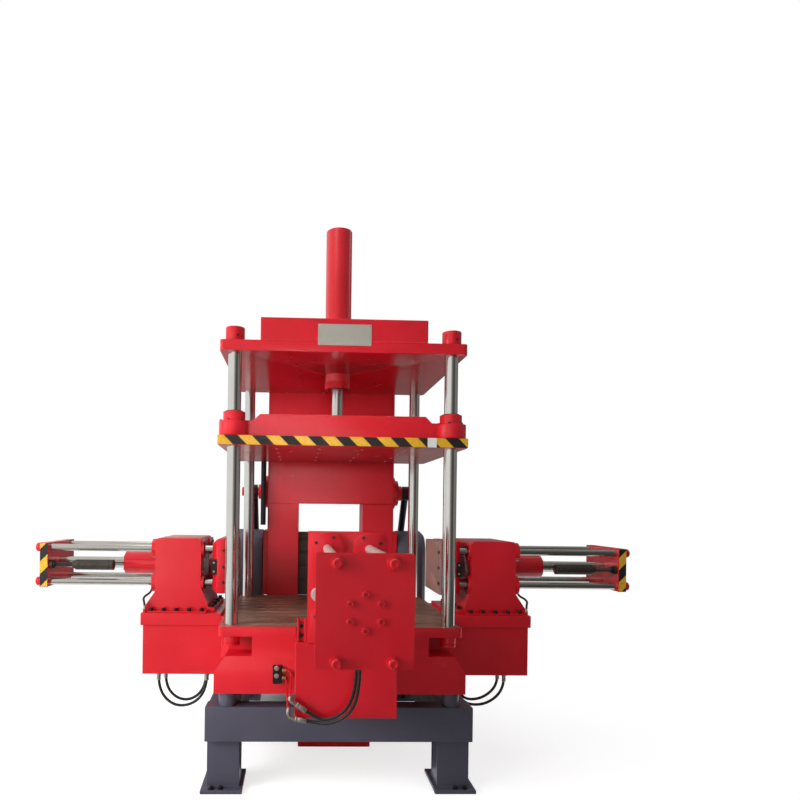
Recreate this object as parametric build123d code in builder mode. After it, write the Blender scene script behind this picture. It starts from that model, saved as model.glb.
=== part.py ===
from build123d import *
import math
import os

os.makedirs("parts", exist_ok=True)

# Tilting gravity casting machine, in millimetres, +Z up, -Y towards the operator.
# The origin is on the floor, at the centre of the four anchor bolts in the feet.
# Helpers take y from the press centre line, which lies press_y from the origin.

# Fits and general gaps
running_gap = 0.05
fixed_gap = 0.1
rest_gap = 0.3

# Press centre line and columns
anchor_front_y = -380.0
anchor_rear_y = 1180.0
press_y = -(anchor_front_y + anchor_rear_y) / 2
column_x = 650.0
column_y = 600.0
column_radius = 40.0
column_thread_drop = 60.0

# Base: beams, legs, feet
foot_thickness = 22.0
leg_inner_x = 594.0
leg_outer_x = 787.0
leg_set_back = 50.0
leg_depth = 160.0
foot_inner_x = 572.0
foot_outer_x = 819.0
foot_depth = 320.0
foot_lip = 10.0
anchor_x = 690.0
anchor_hole_radius = 13.0
beam_bottom_z = 305.0
beam_top_z = 510.0
front_beam_x = 797.0
base_front_y = -645.0
front_beam_depth = 125.0
rail_rear_y = 1350.0
rear_beam_depth = 100.0

# Tilt axis and its bearing lugs
tilt_y = 860.0
tilt_z = 1350.0
lug_inner_x = 545.0
lug_outer_x = 780.0
lug_radius = 160.0
lug_chamfer = 32.0
trunnion_radius = 55.0
trunnion_end_gap = 5.0

# Bed
bed_bottom_z = 594.0
bed_front_y = -660.0
bed_rear_y = 690.0
bed_top_x = 725.0
bed_neck_x = 675.0
bed_side_x = 745.0
bed_chamfer_top_z = 822.0
bed_chamfer_bottom_z = 718.0
bed_plate_bottom_z = 930.0
table_z = 989.0
table_thickness = 32.0
table_rim = 12.0
bed_corner_radius = 28.0
pocket_inner_x = 523.0
pocket_floor_z = 816.0
pocket_depth = 185.0
pad_x = 670.0
pad_y = 590.0
pad_radius = 52.0
slot_pitch = 130.0
slot_count = 9
slot_width = 24.0
slot_depth = 14.0
tee_width = 42.0
tee_depth = 12.0

# Top plate, its ribs and the press cylinder
top_bottom_z = 2612.0
top_thickness = 63.0
top_x = 735.0
top_corner_radius = 26.0
top_rib_x = 496.0
top_rib_height = 135.0
top_rib_thickness = 46.0
column_nut_radius = 57.0
column_nut_height = 82.0
column_end_drop = 8.0
lower_nut_radius = 49.0
lower_nut_height = 45.0
plate_sign_half = 158.0
plate_sign_drop = 24.0
plate_sign_height = 125.0
plate_sign_thickness = 3.0
tube_radius = 89.0
tube_top_z = 3606.0
tube_flange_radius = 140.0
tube_flange_thickness = 40.0
tube_bore_radius = 60.0
tube_cap = 36.0
gland_radius = 85.0
gland_drop = 100.0
gland_bearing = 90.0

# Moving platen
platen_bottom_z = 2056.0
platen_thickness = 58.0
platen_x = 740.0
platen_y = 670.0
platen_hole_gap = 2.0
platen_rib_top_x = 495.0
platen_rib_shoulder_x = 532.0
platen_rib_end_x = 555.0
platen_rib_height = 131.0
platen_rib_shoulder = 93.0
platen_rib_thickness = 50.0
bush_flange_radius = 90.0
bush_flange_height = 86.0
bush_neck_radius = 66.0
bush_neck_height = 57.0
press_rod_radius = 37.5
press_rod_headroom = 356.0
press_piston_height = 40.0
press_foot_radius = 90.0
press_foot_height = 30.0
switch_rod_radius = 21.0
switch_rod_x = -539.0
switch_rod_y = 640.0
switch_rod_length = 504.0
switch_rod_seat = 40.0

# Rear portal, its mould plate and pivots
portal_depth = 260.0
portal_x = 507.0
window_x = 256.0
window_top_z = 1726.0
portal_foot_z = 620.0
rear_mould_top_z = 1497.0
rear_mould_set_back = 40.0
rear_mould_thickness = 60.0
rear_slot_pitch = 110.0
rear_slot_count = 4
pivot_y = 820.0
pivot_z = 1820.0
pivot_steps = ((130.0, 21.0), (103.0, 27.0), (60.0, 33.0))
pivot_pin_radius = 36.0
pivot_pin_end_x = 722.0

# Tilt cylinders
cylinder_x = 622.0
eye_width = 50.0
rod_eye_radius = 58.0
tilt_rod_radius = 27.5
tilt_rod_length = 820.0
tilt_piston_radius = 38.0
tilt_piston_length = 30.0
base_pin_y = 1660.0
base_pin_z = 480.0
base_eye_radius = 50.0
barrel_radius = 48.0
barrel_reach = 860.0
barrel_bottom = 130.0
barrel_gland = 60.0
cheek_gap = 10.0
cheek_thickness = 30.0
cheek_rear_y = 1715.0
cheek_bottom_z = 400.0
cheek_top_z = 545.0
cheek_boss_radius = 40.0
cheek_boss_height = 8.0

# Ejector housing under the bed
ejector_x = 245.0
ejector_front_y = -110.0
ejector_depth = 440.0
ejector_bottom_z = 75.0
ejector_corner_radius = 12.0

# Side arms and side core pullers
arm_end_x = 1257.0
arm_body_inset = 13.0
arm_y = 330.0
arm_bottom_z = 617.0
arm_plate_bottom_z = 930.0
arm_top_z = 1008.0
side_y = 5.0
side_z = 1300.0
side_rod_y = 185.0
side_rod_z = 111.5
side_rod_radius = 22.5
housing_inner_x = 890.0
housing_outer_x = 1185.0
housing_half_y = 247.5
housing_top_z = 1482.0
housing_top_radius = 22.0
housing_foot_inner_x = 839.0
housing_foot_outer_x = 1254.0
housing_flange_z = 1034.0
housing_flare_outer_z = 1137.0
housing_flare_inner_z = 1165.0
side_bush_radius = 62.0
side_bush_outer = 28.0
side_bush_inner = 15.0
side_barrel_radius = 77.5
side_barrel_end_x = 1438.0
core_bore_radius = 55.0
core_rod_radius = 37.5
core_gland = 58.0
core_piston_length = 40.0
tail_inner_x = 1880.0
tail_outer_x = 1934.0
tail_half_y = 237.5
tail_half_z = 144.0
dome_nut_radius = 29.0
dome_nut_height = 43.0
stop_y = -195.0
stop_collar_radius = 28.0
stop_collar_length = 22.0
stop_thread_radius = 15.0
stop_body_radius = 34.0
stop_body_start_x = 1714.0
stop_body_end_x = 1466.0
carrier_outer_x = 820.0
carrier_inner_x = 735.0
carrier_half_z = 178.0
carrier_hub_radius = 62.0
carrier_hub_length = 46.0
mould_inner_x = 680.0
mould_half_z = 175.0
mould_hole_radius = 8.75
mould_hole_depth = 40.0
mould_hole_y = 190.0
mould_hole_rows = (1406.0, 1302.0, 1198.0)

# Front core puller
front_z = 1290.0
front_rod_x = 108.5
front_rod_z = 191.0
front_rod_radius = 22.5
front_rod_step = 4.0
box_x = 268.0
box_front_y = -1090.0
box_top_z = 990.0
bracket_x = 207.0
bracket_front_y = -1100.0
bracket_thickness = 90.0
bracket_top_z = 1568.0
front_bush_radius = 84.0
front_bush_length = 30.0
front_barrel_radius = 75.0
front_barrel_end_y = -1550.0
front_plate_x = 191.0
front_plate_front_y = -1960.0
front_plate_thickness = 40.0
front_plate_bottom_z = 1073.0
front_plate_top_z = 1518.0
front_plate_corner_radius = 10.0
front_carrier_x = 200.0
front_carrier_front_y = -960.0
front_carrier_thickness = 80.0
front_carrier_half_z = 215.0
front_nut_radius = 21.0
front_nut_height = 30.0

# Oil ports on the bed, rigid pipes and the ferrules in front of the bracket box
port_x = (-398.0, -344.0)
port_z = (661.0, 767.0)
port_depth = 30.0
pipe_radius = 6.0
pipe_bend = 17.0
ferrule_radius = 13.0
ferrule_length = 54.0
upper_pipe = ((-344, -675, 735), (-290, -675, 735), (-290, -675, 700), (-290, -1125, 700), (-208, -1125, 645))
lower_pipe = ((-344, -675, 692), (-318, -675, 692), (-318, -675, 655), (-300, -1125, 650), (-298, -1125, 610),
              (-206, -1125, 594))

# Hoses
bend_share = 0.45
hose_radius = 9.0
short_hose_radius = 7.0
fitting_radius = 15.0
short_fitting_radius = 12.0
short_fitting_height = 30.0
short_fitting_width = 42.0
front_hose_upper = ((-208, -1125, 645), (-167, -1125, 617.5), (-122, -1129, 600), (-62, -1136, 613),
                    (-8, -1147, 652), (24, -1166, 716), (39, -1192, 798), (41, -1220, 885), (40, -1246, 985),
                    (40, -1262, 1085), (40, -1262, 1190))
front_hose_lower = ((-206, -1125, 594), (-160, -1125, 586), (-108, -1140, 583), (-44, -1160, 604),
                    (8, -1182, 647), (38, -1210, 713), (50, -1245, 798), (52, -1283, 888), (48, -1332, 982),
                    (43, -1366, 1084), (43, -1366, 1190))
arm_hoses = {"left": {"outer": ((1162, -210, 590), (1162, -210, 526), (1126, -215, 440), (1055, -218, 388),
                                (973, -216, 385), (896, -214, 425), (848, -210, 512), (848, -210, 590)),
                      "inner": ((1126, -160, 590), (1126, -160, 532), (1095, -163, 457), (1032, -165, 412),
                                (962, -164, 408), (898, -162, 448), (860, -160, 525), (860, -160, 590))},
             "right": {"outer": ((1124, -210, 590), (1124, -210, 530), (1084, -215, 458), (1010, -218, 408),
                                 (925, -217, 394), (855, -214, 412), (816, -210, 478), (816, -210, 590)),
                       "inner": ((1096, -160, 590), (1096, -160, 536), (1060, -163, 474), (992, -165, 428),
                                 (915, -165, 414), (862, -162, 430), (830, -160, 486), (830, -160, 590))}}
short_hose = ((1226, -136, 1168), (1226, -136, 1114), (1241, -284, 1084), (1241, -284, 1028))

SIDES = (("left", -1), ("right", 1))


def block(x, y, z, mode=Mode.ADD):
    """Box between two values along each axis."""
    with Locations(((x[0] + x[1]) / 2, press_y + (y[0] + y[1]) / 2, (z[0] + z[1]) / 2)):
        Box(abs(x[1] - x[0]), abs(y[1] - y[0]), abs(z[1] - z[0]), mode=mode)


def bar_x(x, y, z, radius, mode=Mode.ADD):
    """Round bar along X between two x values."""
    with Locations(Location(((x[0] + x[1]) / 2, press_y + y, z), (0, 90, 0))):
        Cylinder(radius, abs(x[1] - x[0]), mode=mode)


def bar_y(x, y, z, radius, mode=Mode.ADD):
    """Round bar along Y between two y values."""
    with Locations(Location((x, press_y + (y[0] + y[1]) / 2, z), (90, 0, 0))):
        Cylinder(radius, abs(y[1] - y[0]), mode=mode)


def bar_z(x, y, z, radius, mode=Mode.ADD):
    """Upright round bar between two z values."""
    with Locations((x, press_y + y, (z[0] + z[1]) / 2)):
        Cylinder(radius, abs(z[1] - z[0]), mode=mode)


def front_profile(points, y):
    """Outline in X and Z, drawn once and extruded from the rear y value to the front one."""
    with BuildSketch(Plane.XZ.offset(-(press_y + max(y)))) as outline:
        with BuildLine():
            Polyline(*points, close=True)
        make_face()
    extrude(outline.sketch, amount=abs(y[1] - y[0]))


def route_radii(route):
    """Bend radius at each corner of a hose, as large as the two runs beside it allow."""
    points = [Vector(*p) for p in route]
    radii = []
    for before, corner, after in zip(points, points[1:], points[2:]):
        shorter = min((corner - before).length, (after - corner).length)
        turn = (corner - before).get_angle(after - corner)
        radii.append(bend_share * shorter / math.tan(math.radians(turn) / 2))
    return radii


# Base rails
base_front_inner_y = base_front_y + front_beam_depth
with BuildPart() as base_rails:
    for side, s in SIDES:
        block((s * leg_inner_x, s * leg_outer_x), (base_front_inner_y, rail_rear_y),
              (beam_bottom_z, beam_top_z))
base_rails.part.label = "base_rails"
export_step(base_rails.part, "parts/base_rails.step")

# Front and rear cross beams
base_rear_y = rail_rear_y + rear_beam_depth
with BuildPart() as base_cross_beams:
    block((-front_beam_x, front_beam_x), (base_front_y, base_front_inner_y), (beam_bottom_z, beam_top_z))
    block((-leg_outer_x, leg_outer_x), (rail_rear_y, base_rear_y), (beam_bottom_z, beam_top_z))
base_cross_beams.part.label = "base_cross_beams"
export_step(base_cross_beams.part, "parts/base_cross_beams.step")

# Legs with their feet
with BuildPart() as legs:
    for side, s in SIDES:
        for y_end, inward, anchor_y in ((base_front_y, 1, anchor_front_y), (base_rear_y, -1, anchor_rear_y)):
            foot_y = y_end - inward * foot_lip
            leg_y = y_end + inward * leg_set_back
            block((s * leg_inner_x, s * leg_outer_x), (leg_y, leg_y + inward * leg_depth),
                  (foot_thickness, beam_bottom_z))
            block((s * foot_inner_x, s * foot_outer_x), (foot_y, foot_y + inward * foot_depth),
                  (0, foot_thickness))
            bar_z(s * anchor_x, anchor_y, (0, foot_thickness), anchor_hole_radius, mode=Mode.SUBTRACT)
legs.part.label = "legs"
export_step(legs.part, "parts/legs.step")

# Bearing lugs of the tilt axis
for side, s in SIDES:
    with BuildPart() as bearing_lug:
        block((s * lug_inner_x, s * lug_outer_x), (tilt_y - lug_radius, tilt_y + lug_radius),
              (beam_top_z, tilt_z))
        bar_x((s * lug_inner_x, s * lug_outer_x), tilt_y, tilt_z, lug_radius)
        outer_face = bearing_lug.faces().sort_by(Axis.X)[-1 if s > 0 else 0]
        chamfer(outer_face.edges().filter_by(GeomType.CIRCLE), lug_chamfer)
        bar_x((s * lug_inner_x, s * lug_outer_x), tilt_y, tilt_z, trunnion_radius + running_gap,
              mode=Mode.SUBTRACT)
    bearing_lug.part.label = f"{side}_bearing_lug"
    export_step(bearing_lug.part, f"parts/{side}_bearing_lug.step")

# Rest pads between base and bed
with BuildPart() as rest_pads:
    for side, s in SIDES:
        for y in (-pad_y, pad_y):
            bar_z(s * pad_x, y, (beam_top_z, bed_bottom_z - rest_gap), pad_radius)
rest_pads.part.label = "rest_pads"
export_step(rest_pads.part, "parts/rest_pads.step")

# Brackets of the tilt cylinders: two cheeks on each side, each with its pin boss
with BuildPart() as cylinder_brackets:
    for side, s in SIDES:
        for outward in (-1, 1):
            inner_x = cylinder_x + outward * (barrel_radius + cheek_gap)
            outer_x = inner_x + outward * cheek_thickness
            block((s * inner_x, s * outer_x), (base_rear_y, cheek_rear_y), (cheek_bottom_z, cheek_top_z))
            bar_x((s * outer_x, s * (outer_x + outward * cheek_boss_height)), base_pin_y, base_pin_z,
                  cheek_boss_radius)
cylinder_brackets.part.label = "cylinder_brackets"
export_step(cylinder_brackets.part, "parts/cylinder_brackets.step")

# Bed frame: top plate, chamfered body and four pockets for the column nuts
with BuildPart() as bed_frame:
    front_profile(((-bed_neck_x, bed_plate_bottom_z), (-bed_neck_x, bed_chamfer_top_z),
                   (-bed_side_x, bed_chamfer_bottom_z), (-bed_side_x, bed_bottom_z),
                   (bed_side_x, bed_bottom_z), (bed_side_x, bed_chamfer_bottom_z),
                   (bed_neck_x, bed_chamfer_top_z), (bed_neck_x, bed_plate_bottom_z)),
                  (bed_front_y, bed_rear_y))
    for side, s in SIDES:
        for front, rear in ((bed_front_y, bed_front_y + pocket_depth),
                            (bed_rear_y - pocket_depth, bed_rear_y)):
            block((s * pocket_inner_x, s * bed_side_x), (front, rear), (pocket_floor_z, bed_plate_bottom_z),
                  mode=Mode.SUBTRACT)
        block((s * pocket_inner_x, s * bed_side_x), (-arm_y, arm_y), (bed_bottom_z, table_z))
    with BuildSketch(Plane.XY.offset(bed_plate_bottom_z)) as plate_outline:
        with BuildLine():
            Polyline((-bed_top_x, press_y + bed_front_y), (bed_top_x, press_y + bed_front_y),
                     (bed_top_x, press_y + bed_rear_y), (-bed_top_x, press_y + bed_rear_y), close=True)
        make_face()
        fillet(plate_outline.vertices().group_by(Axis.Y)[0], bed_corner_radius)
    extrude(amount=table_z - bed_plate_bottom_z)
    block((-bed_top_x + table_rim, bed_top_x - table_rim), (bed_front_y + table_rim, bed_rear_y),
          (table_z - table_thickness, table_z), mode=Mode.SUBTRACT)
    for x in (-column_x, column_x):
        for y in (-column_y, column_y):
            bar_z(x, y, (bed_plate_bottom_z, table_z), column_radius + fixed_gap, mode=Mode.SUBTRACT)
bed_frame.part.label = "bed_frame"
export_step(bed_frame.part, "parts/bed_frame.step")

# Table plate with tee slots across the machine
table_x = bed_top_x - table_rim - fixed_gap
table_front_y = bed_front_y + table_rim + fixed_gap
slot_first_y = -slot_pitch * (slot_count - 1) / 2
with BuildPart() as table_plate:
    block((-table_x, table_x), (table_front_y, bed_rear_y), (table_z - table_thickness, table_z))
    for i in range(slot_count):
        y = slot_first_y + i * slot_pitch
        block((-table_x, table_x), (y - slot_width / 2, y + slot_width / 2), (table_z - slot_depth, table_z),
              mode=Mode.SUBTRACT)
        block((-table_x, table_x), (y - tee_width / 2, y + tee_width / 2),
              (table_z - slot_depth - tee_depth, table_z - slot_depth), mode=Mode.SUBTRACT)
    for x in (-column_x, column_x):
        for y in (-column_y, column_y):
            bar_z(x, y, (table_z - table_thickness, table_z), column_radius + fixed_gap, mode=Mode.SUBTRACT)
table_plate.part.label = "table_plate"
export_step(table_plate.part, "parts/table_plate.step")

# Columns
top_face_z = top_bottom_z + top_thickness
with BuildPart() as columns:
    for x in (-column_x, column_x):
        for y in (-column_y, column_y):
            bar_z(x, y, (bed_plate_bottom_z - column_thread_drop,
                         top_face_z + column_nut_height - column_end_drop), column_radius)
columns.part.label = "columns"
export_step(columns.part, "parts/columns.step")

# Nuts over the top plate and under the bed plate
with BuildPart() as column_nuts:
    for x in (-column_x, column_x):
        for y in (-column_y, column_y):
            bar_z(x, y, (top_face_z, top_face_z + column_nut_height), column_nut_radius)
            bar_z(x, y, (bed_plate_bottom_z - lower_nut_height, bed_plate_bottom_z), lower_nut_radius)
            bar_z(x, y, (bed_plate_bottom_z - lower_nut_height, top_face_z + column_nut_height),
                  column_radius + fixed_gap, mode=Mode.SUBTRACT)
column_nuts.part.label = "column_nuts"
export_step(column_nuts.part, "parts/column_nuts.step")

# Top plate
with BuildPart() as top_plate:
    block((-top_x, top_x), (bed_front_y, bed_rear_y), (top_bottom_z, top_face_z))
    fillet(top_plate.edges().filter_by(Axis.Z), top_corner_radius)
    for x in (-column_x, column_x):
        for y in (-column_y, column_y):
            bar_z(x, y, (top_bottom_z, top_face_z), column_radius + fixed_gap, mode=Mode.SUBTRACT)
    bar_z(0, 0, (top_bottom_z, top_face_z), gland_radius + fixed_gap, mode=Mode.SUBTRACT)
top_plate.part.label = "top_plate"
export_step(top_plate.part, "parts/top_plate.step")

# Ribs on the top plate
with BuildPart() as top_ribs:
    block((-top_rib_x, top_rib_x), (bed_front_y, bed_front_y + top_rib_thickness),
          (top_face_z, top_face_z + top_rib_height))
    block((-top_rib_x, top_rib_x), (bed_rear_y - top_rib_thickness, bed_rear_y),
          (top_face_z, top_face_z + top_rib_height))
top_ribs.part.label = "top_ribs"
export_step(top_ribs.part, "parts/top_ribs.step")

# Bare plate over the joint of rib and top plate
plate_sign_bottom_z = top_face_z - plate_sign_drop
with BuildPart() as nameplate:
    block((-plate_sign_half, plate_sign_half), (bed_front_y - plate_sign_thickness, bed_front_y),
          (plate_sign_bottom_z, plate_sign_bottom_z + plate_sign_height))
nameplate.part.label = "nameplate"
export_step(nameplate.part, "parts/nameplate.step")

# Press cylinder with flange and gland
with BuildPart() as top_cylinder:
    bar_z(0, 0, (top_face_z, top_face_z + tube_flange_thickness), tube_flange_radius)
    bar_z(0, 0, (top_face_z + tube_flange_thickness, tube_top_z), tube_radius)
    bar_z(0, 0, (top_bottom_z - gland_drop, top_face_z), gland_radius)
    bar_z(0, 0, (top_bottom_z - gland_drop, top_bottom_z - gland_drop + gland_bearing),
          press_rod_radius + running_gap, mode=Mode.SUBTRACT)
    bar_z(0, 0, (top_bottom_z - gland_drop + gland_bearing, tube_top_z - tube_cap), tube_bore_radius,
          mode=Mode.SUBTRACT)
top_cylinder.part.label = "top_cylinder"
export_step(top_cylinder.part, "parts/top_cylinder.step")

# Rear portal: head over the window, two legs beside it
portal_y = (bed_rear_y, bed_rear_y + portal_depth)
with BuildPart() as portal_head:
    block((-portal_x, portal_x), portal_y, (window_top_z, top_face_z))
portal_head.part.label = "portal_head"
export_step(portal_head.part, "parts/portal_head.step")

with BuildPart() as portal_legs:
    for side, s in SIDES:
        block((s * window_x, s * portal_x), portal_y, (portal_foot_z, window_top_z))
portal_legs.part.label = "portal_legs"
export_step(portal_legs.part, "parts/portal_legs.step")

# Slotted mould plate between the portal legs
rear_mould_front_y = bed_rear_y + rear_mould_set_back
rear_slot_z = [rear_mould_top_z - rear_slot_pitch * (i + 0.5) for i in range(rear_slot_count)]
with BuildPart() as rear_mould_plate:
    block((-window_x, window_x), (rear_mould_front_y, rear_mould_front_y + rear_mould_thickness),
          (table_z, rear_mould_top_z))
    for z in rear_slot_z:
        block((-window_x, window_x), (rear_mould_front_y, rear_mould_front_y + slot_depth),
              (z - slot_width / 2, z + slot_width / 2), mode=Mode.SUBTRACT)
        block((-window_x, window_x),
              (rear_mould_front_y + slot_depth, rear_mould_front_y + slot_depth + tee_depth),
              (z - tee_width / 2, z + tee_width / 2), mode=Mode.SUBTRACT)
rear_mould_plate.part.label = "rear_mould_plate"
export_step(rear_mould_plate.part, "parts/rear_mould_plate.step")

# Trunnions of the tilt axis
with BuildPart() as tilt_trunnions:
    for side, s in SIDES:
        bar_x((s * portal_x, s * (lug_outer_x - trunnion_end_gap)), tilt_y, tilt_z, trunnion_radius)
tilt_trunnions.part.label = "tilt_trunnions"
export_step(tilt_trunnions.part, "parts/tilt_trunnions.step")

# Stepped bosses and pins that carry the tilt cylinders
with BuildPart() as cylinder_pivots:
    for side, s in SIDES:
        x = portal_x
        for radius, length in pivot_steps:
            bar_x((s * x, s * (x + length)), pivot_y, pivot_z, radius)
            x += length
        bar_x((s * x, s * pivot_pin_end_x), pivot_y, pivot_z, pivot_pin_radius)
cylinder_pivots.part.label = "cylinder_pivots"
export_step(cylinder_pivots.part, "parts/cylinder_pivots.step")

# Ejector housing hanging under the bed
with BuildPart() as ejector_housing:
    block((-ejector_x, ejector_x), (ejector_front_y, ejector_front_y + ejector_depth),
          (ejector_bottom_z, bed_bottom_z))
    fillet(ejector_housing.edges().filter_by(Axis.Z), ejector_corner_radius)
ejector_housing.part.label = "ejector_housing"
export_step(ejector_housing.part, "parts/ejector_housing.step")

# Moving platen
platen_top_z = platen_bottom_z + platen_thickness
with BuildPart() as moving_platen:
    block((-platen_x, platen_x), (-platen_y, platen_y), (platen_bottom_z, platen_top_z))
    fillet(moving_platen.edges().filter_by(Axis.Z), top_corner_radius)
    for x in (-column_x, column_x):
        for y in (-column_y, column_y):
            bar_z(x, y, (platen_bottom_z, platen_top_z), column_radius + platen_hole_gap, mode=Mode.SUBTRACT)
    bar_z(switch_rod_x, switch_rod_y, (platen_bottom_z, platen_bottom_z + switch_rod_seat),
          switch_rod_radius + fixed_gap, mode=Mode.SUBTRACT)
moving_platen.part.label = "moving_platen"
export_step(moving_platen.part, "parts/moving_platen.step")

# Bridge ribs on the moving platen
with BuildPart() as platen_ribs:
    for y in (-column_y, column_y):
        front_profile(((-platen_rib_end_x, platen_top_z), (platen_rib_end_x, platen_top_z),
                       (platen_rib_end_x, platen_top_z + platen_rib_shoulder),
                       (platen_rib_shoulder_x, platen_top_z + platen_rib_shoulder),
                       (platen_rib_top_x, platen_top_z + platen_rib_height),
                       (-platen_rib_top_x, platen_top_z + platen_rib_height),
                       (-platen_rib_shoulder_x, platen_top_z + platen_rib_shoulder),
                       (-platen_rib_end_x, platen_top_z + platen_rib_shoulder)),
                      (y - platen_rib_thickness / 2, y + platen_rib_thickness / 2))
platen_ribs.part.label = "platen_ribs"
export_step(platen_ribs.part, "parts/platen_ribs.step")

# Guide bushes of the moving platen
with BuildPart() as platen_bushes:
    for x in (-column_x, column_x):
        for y in (-column_y, column_y):
            bar_z(x, y, (platen_top_z, platen_top_z + bush_flange_height), bush_flange_radius)
            bar_z(x, y, (platen_top_z + bush_flange_height,
                         platen_top_z + bush_flange_height + bush_neck_height), bush_neck_radius)
            bar_z(x, y, (platen_top_z, platen_top_z + bush_flange_height + bush_neck_height),
                  column_radius + running_gap, mode=Mode.SUBTRACT)
platen_bushes.part.label = "platen_bushes"
export_step(platen_bushes.part, "parts/platen_bushes.step")

# Piston rod of the press cylinder
press_rod_top_z = tube_top_z - press_rod_headroom
with BuildPart() as press_rod:
    bar_z(0, 0, (platen_top_z, platen_top_z + press_foot_height), press_foot_radius)
    bar_z(0, 0, (platen_top_z + press_foot_height, press_rod_top_z), press_rod_radius)
    bar_z(0, 0, (press_rod_top_z - press_piston_height, press_rod_top_z), tube_bore_radius - running_gap)
press_rod.part.label = "press_rod"
export_step(press_rod.part, "parts/press_rod.step")

# Switch rod set into the rear left of the moving platen, hanging down
with BuildPart() as switch_rod:
    bar_z(switch_rod_x, switch_rod_y,
          (platen_bottom_z - switch_rod_length, platen_bottom_z + switch_rod_seat), switch_rod_radius)
switch_rod.part.label = "switch_rod"
export_step(switch_rod.part, "parts/switch_rod.step")

# Side units, mirrored about the press centre plane
side_rods = [(side_y + i * side_rod_y, side_z + j * side_rod_z) for i in (-1, 1) for j in (-1, 1)]
for side, s in SIDES:
    # Arm bolted to the bed
    with BuildPart() as arm:
        block((s * bed_side_x, s * (arm_end_x - arm_body_inset)),
              (-arm_y + arm_body_inset, arm_y - arm_body_inset), (arm_bottom_z, arm_plate_bottom_z))
        block((s * bed_side_x, s * arm_end_x), (-arm_y, arm_y), (arm_plate_bottom_z, arm_top_z))
        for route in arm_hoses[side].values():
            for x, y, z in (route[0], route[-1]):
                bar_z(s * x, y, (z, arm_bottom_z), fitting_radius)
        x, y, z = short_hose[-1]
        bar_z(s * x, y, (arm_top_z, z), short_fitting_radius)
    arm.part.label = f"{side}_arm"
    export_step(arm.part, f"parts/{side}_arm.step")

    # Guide housing with flared foot and bush flanges
    with BuildPart() as core_housing:
        front_profile(((s * housing_foot_inner_x, arm_top_z), (s * housing_foot_outer_x, arm_top_z),
                       (s * housing_foot_outer_x, housing_flange_z),
                       (s * housing_outer_x, housing_flare_outer_z),
                       (s * housing_outer_x, housing_top_z), (s * housing_inner_x, housing_top_z),
                       (s * housing_inner_x, housing_flare_inner_z),
                       (s * housing_foot_inner_x, housing_flange_z)),
                      (side_y - housing_half_y, side_y + housing_half_y))
        top_edges = core_housing.edges().filter_by(Axis.Y).group_by(Axis.Z)[-1]
        fillet(top_edges, housing_top_radius)
        for y, z in side_rods:
            bar_x((s * (housing_inner_x - side_bush_inner), s * housing_inner_x), y, z, side_bush_radius)
            bar_x((s * housing_outer_x, s * (housing_outer_x + side_bush_outer)), y, z, side_bush_radius)
        for y, z in side_rods:
            bar_x((s * (housing_inner_x - side_bush_inner), s * (housing_outer_x + side_bush_outer)), y, z,
                  side_rod_radius + running_gap, mode=Mode.SUBTRACT)
        bar_x((s * housing_inner_x, s * housing_outer_x), side_y, side_z, side_barrel_radius + fixed_gap,
              mode=Mode.SUBTRACT)
        x, y, z = short_hose[0]
        block((s * (housing_outer_x + side_bush_outer), s * (x + short_fitting_radius)),
              (y - short_fitting_radius, y - short_fitting_radius + short_fitting_width),
              (z, z + short_fitting_height))
    core_housing.part.label = f"{side}_core_housing"
    export_step(core_housing.part, f"parts/{side}_core_housing.step")

    # Core cylinder in the housing
    with BuildPart() as core_cylinder:
        bar_x((s * housing_inner_x, s * side_barrel_end_x), side_y, side_z, side_barrel_radius)
        bar_x((s * (housing_inner_x + core_gland), s * (side_barrel_end_x - core_gland)), side_y, side_z,
              core_bore_radius, mode=Mode.SUBTRACT)
        bar_x((s * (side_barrel_end_x - core_gland), s * side_barrel_end_x), side_y, side_z,
              core_rod_radius + running_gap, mode=Mode.SUBTRACT)
    core_cylinder.part.label = f"{side}_core_cylinder"
    export_step(core_cylinder.part, f"parts/{side}_core_cylinder.step")

    # Tail plate
    with BuildPart() as tail_plate:
        block((s * tail_inner_x, s * tail_outer_x), (side_y - tail_half_y, side_y + tail_half_y),
              (side_z - tail_half_z, side_z + tail_half_z))
        for y, z in side_rods:
            bar_x((s * tail_inner_x, s * tail_outer_x), y, z, side_rod_radius + fixed_gap, mode=Mode.SUBTRACT)
    tail_plate.part.label = f"{side}_tail_plate"
    export_step(tail_plate.part, f"parts/{side}_tail_plate.step")

    # Four guide rods with domed nuts, and the piston rod
    with BuildPart() as rods:
        for y, z in side_rods:
            bar_x((s * carrier_outer_x, s * tail_outer_x), y, z, side_rod_radius)
            bar_x((s * tail_outer_x, s * (tail_outer_x + dome_nut_height)), y, z, dome_nut_radius)
        bar_x((s * (side_barrel_end_x - core_gland - core_piston_length), s * tail_inner_x), side_y, side_z,
              core_rod_radius)
        bar_x((s * (side_barrel_end_x - core_gland - core_piston_length),
               s * (side_barrel_end_x - core_gland)), side_y, side_z, core_bore_radius - running_gap)
    rods.part.label = f"{side}_rods"
    export_step(rods.part, f"parts/{side}_rods.step")

    # Stop rod on the tail plate
    with BuildPart() as stop_rod:
        bar_x((s * tail_inner_x, s * (tail_inner_x - stop_collar_length)), stop_y, side_z, stop_collar_radius)
        bar_x((s * tail_inner_x, s * stop_body_start_x), stop_y, side_z, stop_thread_radius)
        bar_x((s * stop_body_start_x, s * stop_body_end_x), stop_y, side_z, stop_body_radius)
    stop_rod.part.label = f"{side}_stop_rod"
    export_step(stop_rod.part, f"parts/{side}_stop_rod.step")

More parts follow.
